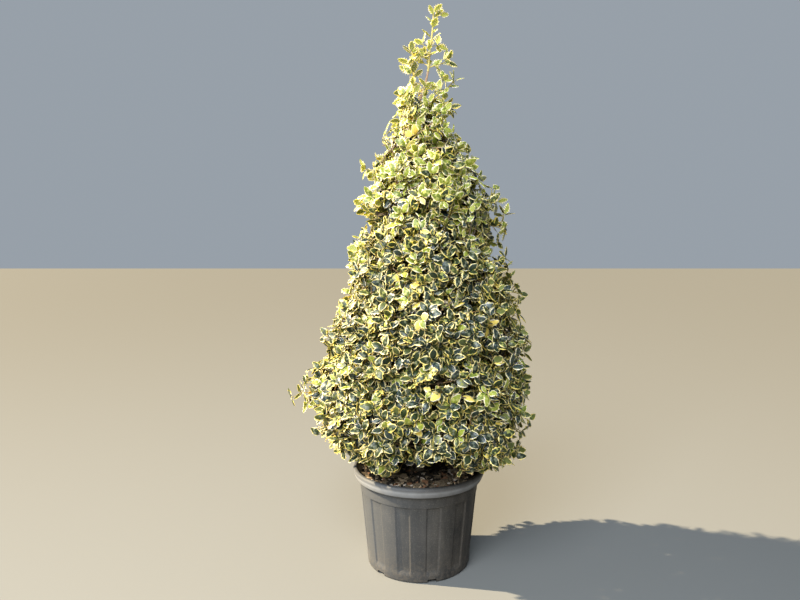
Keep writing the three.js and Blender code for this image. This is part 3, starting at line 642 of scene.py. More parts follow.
def grey_bark():
    material, tree, shader, place = new_material("grey_bark")
    patches = noise(tree, place, 24, 6, 0.65)
    flecks = spots(tree, place, 0.55, 0.66, 210, 4, 0.6, (1, 1, 2.4))
    greys = [(0.3, (0.085, 0.062, 0.040)), (0.52, (0.17, 0.135, 0.095)), (0.72, (0.27, 0.235, 0.175))]
    flecked = mix_colours(tree, flecks, ramp(tree, patches, greys), (0.33, 0.27, 0.20))
    young = ramp(tree, share_along(tree, place, "Z", 1.9, 2.25), [(0.0, 0.0), (1.0, 0.85)])
    bark = mix_colours(tree, young, flecked, (0.46, 0.31, 0.20))
    feed(tree, shader, {"Base Color": bark, "Roughness": 0.82})
    wrinkles = noise(tree, place, 130, 6, 0.7, (1, 1, 0.35))
    bump(tree, shader, maths(tree, "ADD", wrinkles, flecks), 0.0012, 0.7)
    return material


trunk_bark = model_trunk()
raise_bark(trunk_bark, TRUNK_RELIEF)
GREY_BARK = grey_bark()
trunk_bark.data.materials.append(GREY_BARK)
add_to_plant(trunk_bark, "bark", "trunk")

# The boughs: 24 limbs in six rows up the trunk, each with a swollen collar where it leaves it. They rise
# at a slant, sag a little in the middle and go on as the stem of their own mass of foliage. The rows,
# the crown's outline and the chance draws are those that the frame's solids were laid out by.
CROWN_OUTLINE = np.array([  # height, reach to the left, reach to the right
    (0.43, 0.250, 0.340), (0.49, 0.340, 0.440), (0.56, 0.435, 0.500), (0.70, 0.525, 0.540),
    (0.84, 0.570, 0.550), (0.96, 0.505, 0.545), (1.14, 0.430, 0.510), (1.32, 0.365, 0.470),
    (1.50, 0.325, 0.400), (1.70, 0.275, 0.385), (1.84, 0.240, 0.335), (1.95, 0.215, 0.260),
    (2.05, 0.145, 0.205), (2.15, 0.095, 0.180), (2.30, 0.085, 0.185), (2.44, 0.070, 0.120),
])
LOBES = 0.06
ROWS = {  # height, number of boughs, turn in degrees, and how far below its mass a bough leaves the trunk
    "bottom": (0.665, 6, 10, 0.095), "low": (0.960, 5, 40, 0.140), "middle": (1.250, 4, 4, 0.150),
    "upper": (1.520, 4, 49, 0.150), "high": (1.775, 3, 0, 0.120), "top": (2.010, 2, 30, 0.070),
}
ROW_UNEVEN = {"azimuth": 0.12, "height": 0.026}
MASS_CENTRE = 0.62
BOUGH_END = {"share": 0.29, "below": 0.25}
BOUGH_BEND = {"along": 0.55, "sag": 0.16}
BOUGH_ROOT = {"share": 0.42, "most": 0.009}
STEM_END = {"share": 0.66, "above": 0.01}
STEM_TIP_RADIUS = 0.0034
COLLAR = {"swell": 0.7, "length": 0.05}
BOUGH_RELIEF = 0.0012


def chance(number, kind):
    """A repeatable number from 0 to 1 for the nth draw of one kind."""
    wave = math.sin(number * 12.9898 + kind * 78.233) * 43758.5453
    return wave - math.floor(wave)


def reach(height, azimuth):
    """How far the crown reaches from the trunk at a height and an azimuth counted from +X."""
    left, right = (np.interp(height, CROWN_OUTLINE[:, 0], CROWN_OUTLINE[:, k]) for k in (1, 2))
    side = left + (right - left) * (1 + math.cos(azimuth)) / 2
    lobe = math.sin(azimuth * 5 + height / 0.070) * math.sin(azimuth * 2 - height / 0.110)
    return side * (1 + LOBES * lobe)


def past_outline(point):
    """How far a point lies outside the crown's outline."""
    out = point - trunk_at(point.z)
    return out.xy.length - reach(point.z, math.atan2(out.y, out.x))


def in_crown(height, azimuth, share, inset=0.0):
    """A point at a share of the crown's reach, or further in by an inset."""
    out = max(reach(height, azimuth) * share - inset, 0.015)
    return trunk_at(height) + Vector((math.cos(azimuth), math.sin(azimuth), 0)) * out


def plan_boughs():
    """Each mass of foliage: its name, its centre, its row and its limb from the trunk to its stem's end."""
    boughs = []
    for row, (name, (row_height, count, turn, drop)) in enumerate(ROWS.items()):
        for number in range(count):
            draw = row * 10 + number
            uneven = ROW_UNEVEN["azimuth"] * (chance(draw, 1) * 2 - 1)
            azimuth = math.radians(turn) + math.tau / count * (number + uneven)
            height = row_height + ROW_UNEVEN["height"] * (chance(draw, 2) * 2 - 1)
            root = trunk_at(height - drop)
            end = in_crown(height - drop * BOUGH_END["below"], azimuth, BOUGH_END["share"])
            bend = root.lerp(end, BOUGH_BEND["along"])
            bend.z -= drop * BOUGH_BEND["sag"]
            tip = in_crown(height + STEM_END["above"], azimuth, STEM_END["share"])
            boughs.append({
                "name": f"{name}_{number + 1}",
                "row": name,
                "centre": in_crown(height, azimuth, MASS_CENTRE),
                "line": smooth_route([root, bend, end, tip], 30),
                "radius": min(BOUGH_ROOT["share"] * trunk_radius(root.z), BOUGH_ROOT["most"]),
            })
    return boughs


def limbs_piece(name, limbs, sides, materials):
    """Limbs as round-bevelled splines of one curve, made a mesh. A limb is its points, the radius at
    each, and its material slot."""
    curve = bpy.data.curves.new(name, "CURVE")
    curve.dimensions = "3D"
    curve.bevel_depth = 1
    curve.bevel_resolution = sides // 2 - 2
    curve.use_fill_caps = True
    for material in materials:
        curve.materials.append(material)
    for points, radii, slot in limbs:
        spline = curve.splines.new("POLY")
        spline.points.add(len(points) - 1)
        spline.points.foreach_set("co", [c for p in points for c in (*p, 1)])
        spline.points.foreach_set("radius", list(radii))
        spline.material_index = slot
    piece = bpy.data.objects.new(name, curve)
    bpy.context.collection.objects.link(piece)
    pick(piece)
    bpy.ops.object.convert(target="MESH")
    edit(piece)
    bpy.ops.mesh.select_all(action="SELECT")
    bpy.ops.mesh.remove_doubles(threshold=1e-6)
    close_up()
    return piece


def taper(first, last, steps, collar=0.0):
    """Radii along a limb, with a collar that swells its root."""
    shares = np.linspace(0, 1, steps)
    return (first + (last - first) * shares) * (1 + collar * np.exp(-shares / COLLAR["length"]))


BOUGHS = plan_boughs()
bough_limbs = [
    (bough["line"], taper(bough["radius"], STEM_TIP_RADIUS, len(bough["line"]), COLLAR["swell"]), 0)
    for bough in BOUGHS
]
boughs_bark = limbs_piece("boughs_bark", bough_limbs, 10, [GREY_BARK])
raise_bark(boughs_bark, BOUGH_RELIEF)
add_to_plant(boughs_bark, "bark", *["bough_" + bough["name"] for bough in BOUGHS])

# The branches and twigs: side branches leave each bough's stem at a slant, twigs leave those, and short
# shoots leave the twigs near their ends. Each order ends nearer the crown's outline, evenly all over it.
# Branches are grey, two-year twigs are brown, and this year's shoots are green and slightly ridged.
GOLDEN_ANGLE = math.pi * (3 - math.sqrt(5))
BRANCHES = {
    "count": 300, "share": 0.80, "low": 0.52, "high": 2.11, "root": 0.0034, "tip": 0.0022, "clear": 0.04,
}
TWIGS = {
    "count": 715, "low": 0.50, "high": 2.17, "inset": 0.104, "uneven": 0.034, "root": 0.0025, "tip": 0.0018,
}
UNDER_TWIGS = {"count": 46, "height": 0.54, "from": 0.2, "spread": 0.62}
SHOOTS = {
    "per_twig": 1.7, "length": (0.045, 0.085), "lean": (0.7, 1.15), "lift": 0.16,
    "root": 0.0020, "tip": 0.0015,
}
BRANCH_BEND = {"along": 0.45, "forward": 0.14}
SPRAYS = [  # azimuth in degrees, height and inset of sprays that stand out, or that fill the last gaps
    (180, 0.830, -0.024), (180, 1.900, 0.042), (0, 1.345, 0.012), (0, 1.632, 0.015), (0, 1.752, 0.015),
    (218, 0.940, 0.070), (226, 0.880, 0.080), (268, 1.430, 0.085),
]
FORWARD = 1.3  # how strongly a branch is made to leave its limb forwards
OTHER_MASS = 10  # what keeps a branch from leaving the limbs of another mass
TWIG_COLLAR = 0.3
SKIRT_UNEVEN = 0.035
SKIRT_LOW = 0.440  # the lowest leaves over the container's middle
SKIRT_RISE = 0.36  # how steeply the skirt rises towards the front, where it clears the rim
SKIRT_LEFT = (0.235, 0.53)  # how far out on the left it starts to rise, and how steeply
RIM_CLEAR = 0.018  # how far the twigs keep over the container's rim


def even_spots(count, low, high):
    """Heights and azimuths evenly by area over the crown, on a golden spiral."""
    slices = np.linspace(low, high, 400)
    areas = np.array([reach(h, 0) + reach(h, math.pi) for h in slices])
    passed = np.cumsum(areas) / areas.sum()
    heights = np.interp((np.arange(count) + 0.5) / count, passed, slices)
    return [(height, number * GOLDEN_ANGLE) for number, height in enumerate(heights)]


def mass_of(point):
    return min(range(len(BOUGHS)), key=lambda i: (BOUGHS[i]["centre"] - point).length)


class Limbs:
    """Limbs that others can leave: all their points, with the way each runs there and its mass."""

    def __init__(self, lines, masses, skip):
        self.points = np.array([p for line in lines for p in line[skip:]])
        ways = [line[k] - line[k - 1] for line in lines for k in range(skip, len(line))]
        self.ways = np.array([way.normalized() for way in ways])
        self.masses = np.array([m for line, m in zip(lines, masses) for _ in line[skip:]])

    def leave(self, end, mass):
        """Where a branch to this end leaves its mass's limbs, and the way the limb runs there."""
        gaps = np.array(end) - self.points
        lengths = np.linalg.norm(gaps, axis=1) + 1e-6
        forward = (gaps * self.ways).sum(1) / lengths
        cost = lengths * (1 + FORWARD * (1 - forward)) + np.where(self.masses == mass, 0, OTHER_MASS)
        best = int(np.argmin(cost))
        return Vector(self.points[best]), Vector(self.ways[best])


def branch_line(start, way, end, steps, lift):
    """A branch that leaves along its limb, turns to its end and lifts its tip to the light."""
    length = (end - start).length
    bend = start.lerp(end, BRANCH_BEND["along"]) + way * length * BRANCH_BEND["forward"]
    return smooth_route([start, bend - Vector((0, 0, lift * length)), end], steps)


def above_rim(point, gap=RIM_CLEAR):
    """Whether a twig's or a leaf's tip clears the container's rim and the uneven line of the skirt."""
    azimuth = math.atan2(point.y, point.x)
    hang = SKIRT_UNEVEN * math.sin(azimuth * 9 + 1) * math.sin(azimuth * 4)
    start, slope = SKIRT_LEFT
    rise = SKIRT_RISE * max(-point.y, 0) + slope * max(-point.x - start, 0)
    if point.z < SKIRT_LOW + rise + hang + gap:
        return False
    return point.z > POT_HEIGHT + gap or point.xy.length > RIM_RADIUS + gap


draw = np.random.default_rng(21)
limb_tree = Limbs([bough["line"] for bough in BOUGHS], range(len(BOUGHS)), 12)
branch_lines, branch_masses = [], []
for height, azimuth in even_spots(BRANCHES["count"], BRANCHES["low"], BRANCHES["high"]):
    end = in_crown(height + draw.normal(0, 0.02), azimuth, BRANCHES["share"] + draw.uniform(-0.07, 0.05))
    if not above_rim(end, BRANCHES["clear"]):
        continue
    mass = mass_of(end)
    start, way = limb_tree.leave(end, mass)
    branch_lines.append(branch_line(start, way, end, 9, 0.05))
    branch_masses.append(mass)

branch_tree = Limbs(
    [bough["line"] for bough in BOUGHS] + branch_lines, [*range(len(BOUGHS)), *branch_masses], 4
)


def twig_ends():
    """Where the twigs end: all over the crown, under its skirt, and the sprays that stand out."""
    ends = []
    for height, azimuth in even_spots(TWIGS["count"], TWIGS["low"], TWIGS["high"]):
        height += draw.normal(0, 0.014)
        azimuth += draw.normal(0, 0.02) / max(reach(height, azimuth), 0.1)
        ends.append(in_crown(height, azimuth, 1, TWIGS["inset"] - TWIGS["uneven"] * draw.normal(0.1, 0.55)))
    for number in range(UNDER_TWIGS["count"]):
        share = UNDER_TWIGS["from"] + UNDER_TWIGS["spread"] * math.sqrt((number + 0.5) / UNDER_TWIGS["count"])
        point = in_crown(UNDER_TWIGS["height"], number * GOLDEN_ANGLE, share)
        ends.append(point + Vector((0, 0, draw.uniform(-0.03, 0.02))))
    for azimuth, height, inset in SPRAYS:
        ends.append(in_crown(height, math.radians(azimuth), 1, inset))
    return [end for end in ends if above_rim(end)]


def shoots_of(line, mass):
    """Short side shoots near a twig's end, to either side of it."""
    shoots = []
    wanted = SHOOTS["per_twig"]
    count = int(wanted) + (draw.uniform() < wanted - int(wanted))
    way = (line[-1] - line[-3]).normalized()
    aside = way.cross(Vector((0, 0, 1))).normalized()
    above = aside.cross(way)
    roll = draw.uniform(0, math.tau)
    for number in range(count):
        start = line[-2 - number] if number < 2 else line[-3]
        angle = roll + number * math.pi + draw.normal(0, 0.5)
        side = aside * math.cos(angle) + above * math.sin(angle)
        lean = draw.uniform(*SHOOTS["lean"])
        length = draw.uniform(*SHOOTS["length"])
        lift = Vector((0, 0, SHOOTS["lift"] * length))
        end = start + (way * math.cos(lean) + side * math.sin(lean)) * length + lift
        if above_rim(end):
            shoots.append((branch_line(start, way, end, 4, 0.04), mass))
    return shoots


twig_lines, shoot_lines = [], []
for end in twig_ends():
    mass = mass_of(end)
    start, way = branch_tree.leave(end, mass)
    line = branch_line(start, way, end, 7, 0.07)
    twig_lines.append((line, mass))
    shoot_lines.extend(shoots_of(line, mass))

# The light tops grow on from the trunk's tip and its last forks. Each line is a stem or a twig of one of
# them, by the points that it runs through, with its radius at the root and the number of its leaves.
TOPS = {
    "leader": [
        ([(0.038, 0, 2.335), (0.046, 0.002, 2.42), (0.056, 0, 2.50), (0.062, 0, 2.592)], 0.0046, 13),
        (
            [(0.040, 0, 2.352), (0.062, -0.010, 2.358), (0.090, -0.018, 2.362), (0.118, -0.022, 2.374)],
            0.0022, 8,
        ),
        ([(0.045, 0.001, 2.402), (0.030, -0.014, 2.425), (0.012, -0.020, 2.452)], 0.0018, 5),
        ([(0.050, 0.001, 2.445), (0.066, 0.018, 2.455), (0.082, 0.034, 2.462)], 0.0016, 4),
        ([(0.038, 0, 2.362), (0.022, 0.026, 2.378), (0.010, 0.046, 2.402)], 0.0018, 5),
        ([(0.060, 0, 2.560), (0.074, 0.004, 2.572), (0.088, 0.006, 2.588)], 0.0014, 2),
    ],
    "second_leader": [
        ([(-0.014, 0, 2.15), (-0.030, 0.002, 2.23), (-0.026, 0.003, 2.33), (-0.036, 0, 2.425)], 0.0056, 15),
        ([(-0.029, 0.002, 2.26), (-0.042, 0.030, 2.30), (-0.044, 0.045, 2.34)], 0.0020, 5),
        ([(-0.027, 0.002, 2.31), (-0.038, -0.018, 2.335), (-0.046, -0.026, 2.362)], 0.0018, 5),
        ([(-0.029, 0.001, 2.21), (-0.048, -0.024, 2.224), (-0.060, -0.030, 2.236)], 0.0020, 5),
        ([(-0.026, 0.003, 2.345), (-0.006, -0.012, 2.372), (0.004, -0.016, 2.398)], 0.0016, 3),
        ([(-0.022, 0.001, 2.185), (-0.048, 0.016, 2.196), (-0.066, 0.020, 2.212)], 0.0018, 4),
    ],
    "side_spray": [
        ([(-0.006, 0, 2.192), (0.060, -0.014, 2.205), (0.110, -0.008, 2.24), (0.158, 0, 2.294)], 0.0038, 12),
        ([(0.048, -0.012, 2.202), (0.095, -0.024, 2.182), (0.138, -0.030, 2.165)], 0.0022, 7),
        ([(0.085, -0.012, 2.220), (0.096, -0.036, 2.252), (0.108, -0.046, 2.280)], 0.0018, 5),
        ([(0.060, -0.012, 2.206), (0.070, 0.026, 2.232), (0.084, 0.046, 2.256)], 0.0018, 5),
        ([(0.012, -0.004, 2.196), (0.020, -0.034, 2.226), (0.030, -0.044, 2.252)], 0.0018, 5),
        ([(0.006, -0.002, 2.195), (-0.002, 0.034, 2.215), (-0.006, 0.052, 2.242)], 0.0018, 5),
    ],
}
TOP_TAPER = {"root": 1.15, "tip": 0.62, "least": 0.0016}
top_lines = {
    name: [(smooth_route(route, 8), radius, leaves) for route, radius, leaves in lines]
    for name, lines in TOPS.items()
}


def young_bark(name, grain, dark, light, roughness):
    material, tree, shader, place = new_material(name)
    bark = ramp(tree, noise(tree, place, grain, 4, 0.6), [(0.35, dark), (0.65, light)])
    feed(tree, shader, {"Base Color": bark, "Roughness": roughness})
    return material


TWIG_BARKS = [
    GREY_BARK,
    young_bark("brown_twig_bark", 140, (0.150, 0.088, 0.032), (0.330, 0.220, 0.085), 0.7),
    young_bark("green_shoot_bark", 110, (0.38, 0.32, 0.075), (0.64, 0.53, 0.18), 0.5),
]
GREY, BROWN, GREEN = range(3)
branch_limbs = [
    (line, taper(BRANCHES["root"], BRANCHES["tip"], len(line), TWIG_COLLAR), GREY)
    for line in branch_lines
]
twig_limbs = [
    (line, taper(TWIGS["root"], TWIGS["tip"], len(line), TWIG_COLLAR), BROWN)
    for line, _ in twig_lines
]
shoot_limbs = [(line, taper(SHOOTS["root"], SHOOTS["tip"], len(line)), GREEN) for line, _ in shoot_lines]


def top_limb(line, radius):
    tip = max(radius * TOP_TAPER["tip"], TOP_TAPER["least"])
    return line, taper(radius * TOP_TAPER["root"], tip, len(line)), GREEN


top_limbs = [top_limb(line, radius) for lines in top_lines.values() for line, radius, _ in lines]
add_to_plant(limbs_piece("branches", branch_limbs + top_limbs, 6, TWIG_BARKS), "bark")
add_to_plant(limbs_piece("twigs", twig_limbs + shoot_limbs, 4, TWIG_BARKS), "bark")

# The leaves: stiff, leathery and glossy, mostly 40 to 65 mm long. Each has a dark green to blue-green middle
# with paler patches, an uneven cream to yellow edge and a paler underside. Most have a few soft spines
# and a wavy edge, the topmost are sharply spined, and older ones are nearly smooth.
LEAF_SHAPES = {  # length, width, rows, size of the spines, wave, droop of the tip, share that is green
    "broad_spined": (0.062, 0.041, 8, 0.16, 0.070, 0.10, 0.76),
    "slim_spined": (0.060, 0.032, 8, 0.13, 0.060, 0.06, 0.73),
    "wavy": (0.059, 0.038, 6, 0.08, 0.065, 0.12, 0.77),
    "smooth": (0.058, 0.035, 6, 0.00, 0.020, 0.08, 0.78),
    "young": (0.044, 0.024, 5, 0.03, 0.020, 0.04, 0.70),
    "sharp_spined": (0.062, 0.036, 12, 0.28, 0.075, 0.12, 0.62),
}
LEAF_THICKNESS = 0.013  # as a share of the length
STALK_SHARE = 0.09
STALK_WIDTH = 0.055
LEAF_FORM = {"midrib": 0.30, "crown": 0.13, "uneven": 0.10, "spines_forward": 0.025}
MIDDLE, PATCH, EDGE, UNDER = range(4)


def leaf_width(share):
    """A leaf's half width along it, as a share of the most: its stalk, then an oval that comes to a point."""
    if share < STALK_SHARE:
        return STALK_WIDTH
    along = (share - STALK_SHARE) / (1 - STALK_SHARE)
    return math.sin(math.pi * along**0.84) ** 0.88 * (1 - 0.06 * along) + 0.02


def model_leaf(number, name):
    """A flat block, cut along and across its top, pinched together at its sides and ends, then each row
    set to the leaf's width, ridged along the midrib, waved at the edge and bent down to the tip."""
    length, width, rows, spine, wave, droop, green = LEAF_SHAPES[name]
    deselect()
    bpy.ops.mesh.primitive_cube_add(size=1, location=(0.5, 0, 0), scale=(1, 1, 0.1))
    leaf = begin("leaf_shape_" + name)

    def subdivide_edges(along, cuts, face_side):
        bpy.ops.mesh.select_mode(type="EDGE")
        bpy.ops.mesh.select_all(action="DESELECT")
        edges = bmesh.from_edit_mesh(leaf.data)
        for cut_edge in edges.edges:
            first, last = (v.co for v in cut_edge.verts)
            across = near(first.x, last.x) and near(first.z, last.z)
            lengthwise = near(first.y, last.y) and near(first.z, last.z)
            cut_edge.select = lengthwise if along else across and first.z * face_side > 0
        bmesh.update_edit_mesh(leaf.data)
        bpy.ops.mesh.subdivide(number_cuts=cuts)

    subdivide_edges(True, rows - 1, 0)
    subdivide_edges(False, 3, 1)
    subdivide_edges(False, 2, -1)
    select_points(leaf, lambda p: abs(p.y) > 0.49)
    resize((1, 1, 0), (0, 0, 0))
    for tip in (0, 1):
        select_points(leaf, lambda p: near(p.x, tip))
        resize((1, 0, 0), (tip, 0, 0))
    bpy.ops.mesh.select_all(action="SELECT")
    bpy.ops.mesh.remove_doubles(threshold=1e-5)
    for row in range(1, rows):
        share = STALK_SHARE + (1 - STALK_SHARE) * ((row - 1) / (rows - 1)) ** 0.92
        shift = share - row / rows
        half = leaf_width(share) * width / 2 / length
        spined = row % 2
        drop = -droop * share**2
        uneven = 1 + LEAF_FORM["uneven"] * math.sin(number * 2.1 + row * 1.9)
        crown = half * LEAF_FORM["crown"] + drop
        moves = {(0, 1): (0, half * LEAF_FORM["midrib"] + drop)}
        for side in (-1, 1):
            out = half * (1 + spine * (1.3 if spined else -1.0))
            lift = wave * width / length * (1 if (row + (side > 0)) % 2 else -1)
            moves[side * 0.25, 1] = (side * half * green * uneven, crown)
            moves[side * 0.5, 0] = (side * out, lift + drop)
            moves[side / 6, -1] = (side * half * green, crown - LEAF_THICKNESS)
        for (column, level), (aside, height) in moves.items():

            def at_corner(place):
                return near(place.x, row / rows) and near(place.y, column) and near(place.z, level / 20)

            select_points(leaf, at_corner)
            forward = shift + LEAF_FORM["spines_forward"] * spined * (level == 0)
            move((forward, aside - column, height - level / 20))
    select_points(leaf, lambda p: near(p.x, 1))
    move((0, 0, -droop))
    bpy.ops.mesh.select_all(action="SELECT")
    resize((length, length, length), (0, 0, 0))
    close_up()
    for face in leaf.data.polygons:
        middle = face.center / length
        half = max(leaf_width(middle.x) * width / 2 / length, 1e-3)
        if abs(middle.y) > half * green * 0.8 or middle.x > 0.95:
            face.material_index = EDGE
        elif face.normal.z < 0:
            face.material_index = UNDER
        else:
            patched = math.sin(number * 3.7 + middle.x * 11 + (middle.y > 0) * 2.3) > 0.75
            face.material_index = PATCH if patched else MIDDLE
    return leaf


leaf_arrays = [shape_arrays(model_leaf(number, name)) for number, name in enumerate(LEAF_SHAPES)]
LEAF_COLOURS = {  # the colour, and how rough the gloss is
    "middle_bottle": ((0.025, 0.040, 0.023), 0.38), "middle_deep": ((0.036, 0.053, 0.022), 0.40),
    "middle_blue": ((0.038, 0.056, 0.047), 0.36), "middle_mid": ((0.080, 0.098, 0.034), 0.40),
    "middle_fresh": ((0.195, 0.240, 0.042), 0.40), "middle_lime": ((0.300, 0.340, 0.062), 0.42),
    "patch_grey": ((0.170, 0.185, 0.125), 0.40), "patch_blue": ((0.125, 0.152, 0.125), 0.40),
    "patch_light": ((0.270, 0.285, 0.095), 0.42), "patch_fresh": ((0.450, 0.465, 0.145), 0.42),
    "edge_cream": ((0.890, 0.735, 0.320), 0.46), "edge_pale": ((0.930, 0.815, 0.470), 0.46),
    "edge_yellow": ((0.860, 0.675, 0.185), 0.46), "edge_gold": ((0.640, 0.470, 0.110), 0.46),
    "under_green": ((0.200, 0.235, 0.090), 0.50), "under_pale": ((0.310, 0.345, 0.155), 0.50),
    "under_fresh": ((0.480, 0.510, 0.160), 0.50),
}
COLOUR_NAMES = list(LEAF_COLOURS)
LEAF_GLOW = {True: 0.62, False: 0.40}  # how much light goes through a fresh blade and through an older one


def leaf_skin(name, colour, roughness):
    material, tree, shader, _ = new_material(name)
    glow = LEAF_GLOW[name.endswith(("fresh", "lime", "pale"))]
    feed(tree, shader, {"Base Color": colour, "Roughness": roughness, "Specular IOR Level": 0.45})
    feed(tree, shader, {
        "Subsurface Weight": glow, "Subsurface Radius": (1.0, 1.0, 0.35), "Subsurface Scale": 0.004,
    })
    return material


LEAF_SKINS = [leaf_skin(name, *look) for name, look in LEAF_COLOURS.items()]
LEAF_DEALS = [  # how often, and the colours of the middle, the patches, the edge and the underside
    (0.23, "middle_bottle", "patch_grey", "edge_cream", "under_green"),
    (0.17, "middle_deep", "patch_light", "edge_yellow", "under_green"),
    (0.20, "middle_blue", "patch_blue", "edge_pale", "under_pale"),
    (0.20, "middle_deep", "patch_grey", "edge_cream", "under_green"),
    (0.08, "middle_mid", "patch_light", "edge_cream", "under_green"),
    (0.05, "middle_mid", "patch_grey", "edge_yellow", "under_pale"),
    (0.02, "middle_fresh", "patch_fresh", "edge_pale", "under_fresh"),
    (0.01, "middle_lime", "patch_fresh", "edge_pale", "under_fresh"),
    (0.008, "edge_yellow", "edge_yellow", "edge_pale", "edge_yellow"),
    (0.004, "edge_gold", "edge_yellow", "edge_cream", "edge_gold"),
    (0.02, "patch_grey", "patch_light", "edge_pale", "under_pale"),
]
DEAL_SHARES = np.array([deal[0] for deal in LEAF_DEALS])
DEAL_SLOTS = np.array([[COLOUR_NAMES.index(name) for name in deal[1:]] for deal in LEAF_DEALS])
FRESH_DEALS = np.array([0.00, 0.02, 0.03, 0.02, 0.06, 0.05, 0.36, 0.38, 0.02, 0.00, 0.06])
YOUNG_DEALS = np.array([0.00, 0.00, 0.00, 0.00, 0.05, 0.15, 0.15, 0.20, 0.30, 0.15, 0.00])
# Paler, greyer middles dealt on the side the sun comes from: painted sunlight and sheen.
PAINTED_SUNLIGHT_DEALS = np.array([0.03, 0.05, 0.04, 0.03, 0.24, 0.12, 0.08, 0.05, 0.01, 0.00, 0.35])
YOUNG_SHARE = 0.05
PAINTED_SUNLIGHT_MOST = 0.6
SHAPE_SHARES = np.array([0.24, 0.12, 0.34, 0.22, 0.08, 0.00])
TOP_SHAPE_SHARES = np.array([0.22, 0.22, 0.04, 0.00, 0.08, 0.44])
ROW_SPINY = {"upper": 0.15, "high": 0.35, "top": 0.70}  # how far the shapes are those of the top
FRESH_AND_PAINTED_SUNLIGHT_TOP = (1.42, 0.45)  # above which height the young yellow-green sprays become common, and over what height: new growth, and partly painted sunlight on the open top
FRESH_AND_PAINTED_SUNLIGHT_SIDE = {True: 1.2, False: 0.5}  # how much more often a spray is newly grown on the left than elsewhere: new growth, and partly painted sunlight on the sun's side
FRESH_MORE = {True: 0.5, False: 0.02}  # how far a newly grown spray and another one are fresh
PAINTED_SUNLIGHT_SIDE = (0.05, 0.3)  # how far out on the left the painted sunlight starts, and over what width
SPRAY_MATCH = 0.35  # how often a leaf has the colours that its spray favours
TIP_LEAVES = 4
TIP_REACH = 0.06  # how far from its foot a leaf's tip is taken to be
LEAF_CLEAR = 0.004  # how far the leaves' tips keep over the container's rim
LEAF_TURN = math.radians(137.5)
LEAF_UP = {"by": 0.55, "above": 1.2, "over": 0.9, "most": 0.75}  # how much leaves face up, less so higher up
LEAF_TOSS = 0.26  # how far the leaves' faces are thrown out of that way
LEAF_SCALE = (0.80, 1.12)
SPACED_LEAN = (0.8, 1.25)  # in radians away from the shoot
WHORL_LEAN = (0.85, 1.35)
ERECT = {"lean": 0.8, "roll": 0.6}
ROLL = 0.22
TWIG_SPRAY = {"leaves": (7, 10), "first": 0.42, "fresh": 0.06, "scale": 1.0}
SHOOT_SPRAY = {"leaves": (4, 7), "first": 0.30, "fresh": 0.12, "scale": 0.96}
TOP_SPRAY = {"stem": 0.001, "first": 0.2, "fresh": 0, "scale": 0.92}
YOUNG_SCALE = 0.66
ROW_PIECES = {"bottom": 2, "low": 2}  # the fullest rows are made as two pieces
REACH_SLACK = (-0.008, 0.036)  # how far past the crown's outline the leaves of a shoot may reach


def leaf_frame(place, way, angle, lean, roll, erect=False):
    """The axes of a leaf that leans away from its shoot and turns its face out to the light: along it,
    across it and up from its face."""
    aside = way.cross(Vector((0, 0, 1)))
    aside = aside.normalized() if aside.length > 0.05 else Vector((1, 0, 0))
    above = aside.cross(way)
    out = aside * math.cos(angle) + above * math.sin(angle)
    along = (way * math.cos(lean) + out * math.sin(lean)).normalized()
    light = place - trunk_at(place.z)
    light.z = 0
    lift = LEAF_UP["by"] * (1 - held((place.z - LEAF_UP["above"]) / LEAF_UP["over"], 0, LEAF_UP["most"]))
    toss = Vector(draw.normal(0, LEAF_TOSS, 3))
    up = way if erect else (light.normalized() + way * 0.55 + Vector((0, 0, lift)) + toss).normalized()
    across = up.cross(along)
    if across.length < 0.3:
        across = out.cross(along)
    across.normalize()
    face = along.cross(across)
    across = across * math.cos(roll) + face * math.sin(roll)
    return np.array([along, across, along.cross(across)]).T


def leaves_on(line, count, radius, first, erect=False):
    """The leaves of one shoot: spaced leaves along it, and a close whorl at its tip. Each is its axes
    and its place. Those of an erect shoot stand up round it."""
    leaves = []
    ways = [(b - a).normalized() for a, b in zip(line, line[1:])]
    singles = max(count - TIP_LEAVES, 0)
    turn = draw.uniform(0, math.tau)
    slack = draw.uniform(*REACH_SLACK) + max(past_outline(line[-1]) + 0.05, 0)
    for number in range(count):
        if number < singles:
            share = first + (0.92 - first) * number / singles
            lean = draw.uniform(*SPACED_LEAN)
        else:
            share = 0.94 + 0.06 * (number - singles) / max(count - singles - 1, 1)
            lean = draw.uniform(*WHORL_LEAN)
        along = share * (len(line) - 1)
        step = min(int(along), len(line) - 2)
        place = line[step].lerp(line[step + 1], along - step)
        lean *= ERECT["lean"] if erect else 1
        roll = draw.normal(0, ERECT["roll"] if erect else ROLL)
        axes = leaf_frame(place, ways[step], turn + number * LEAF_TURN, lean, roll, erect)
        tip = place + Vector(axes[:, 0]) * TIP_REACH
        if above_rim(tip, LEAF_CLEAR) and (erect or past_outline(tip) < slack):
            leaves.append((axes, place + Vector(axes[:, 0]) * radius))
    return leaves


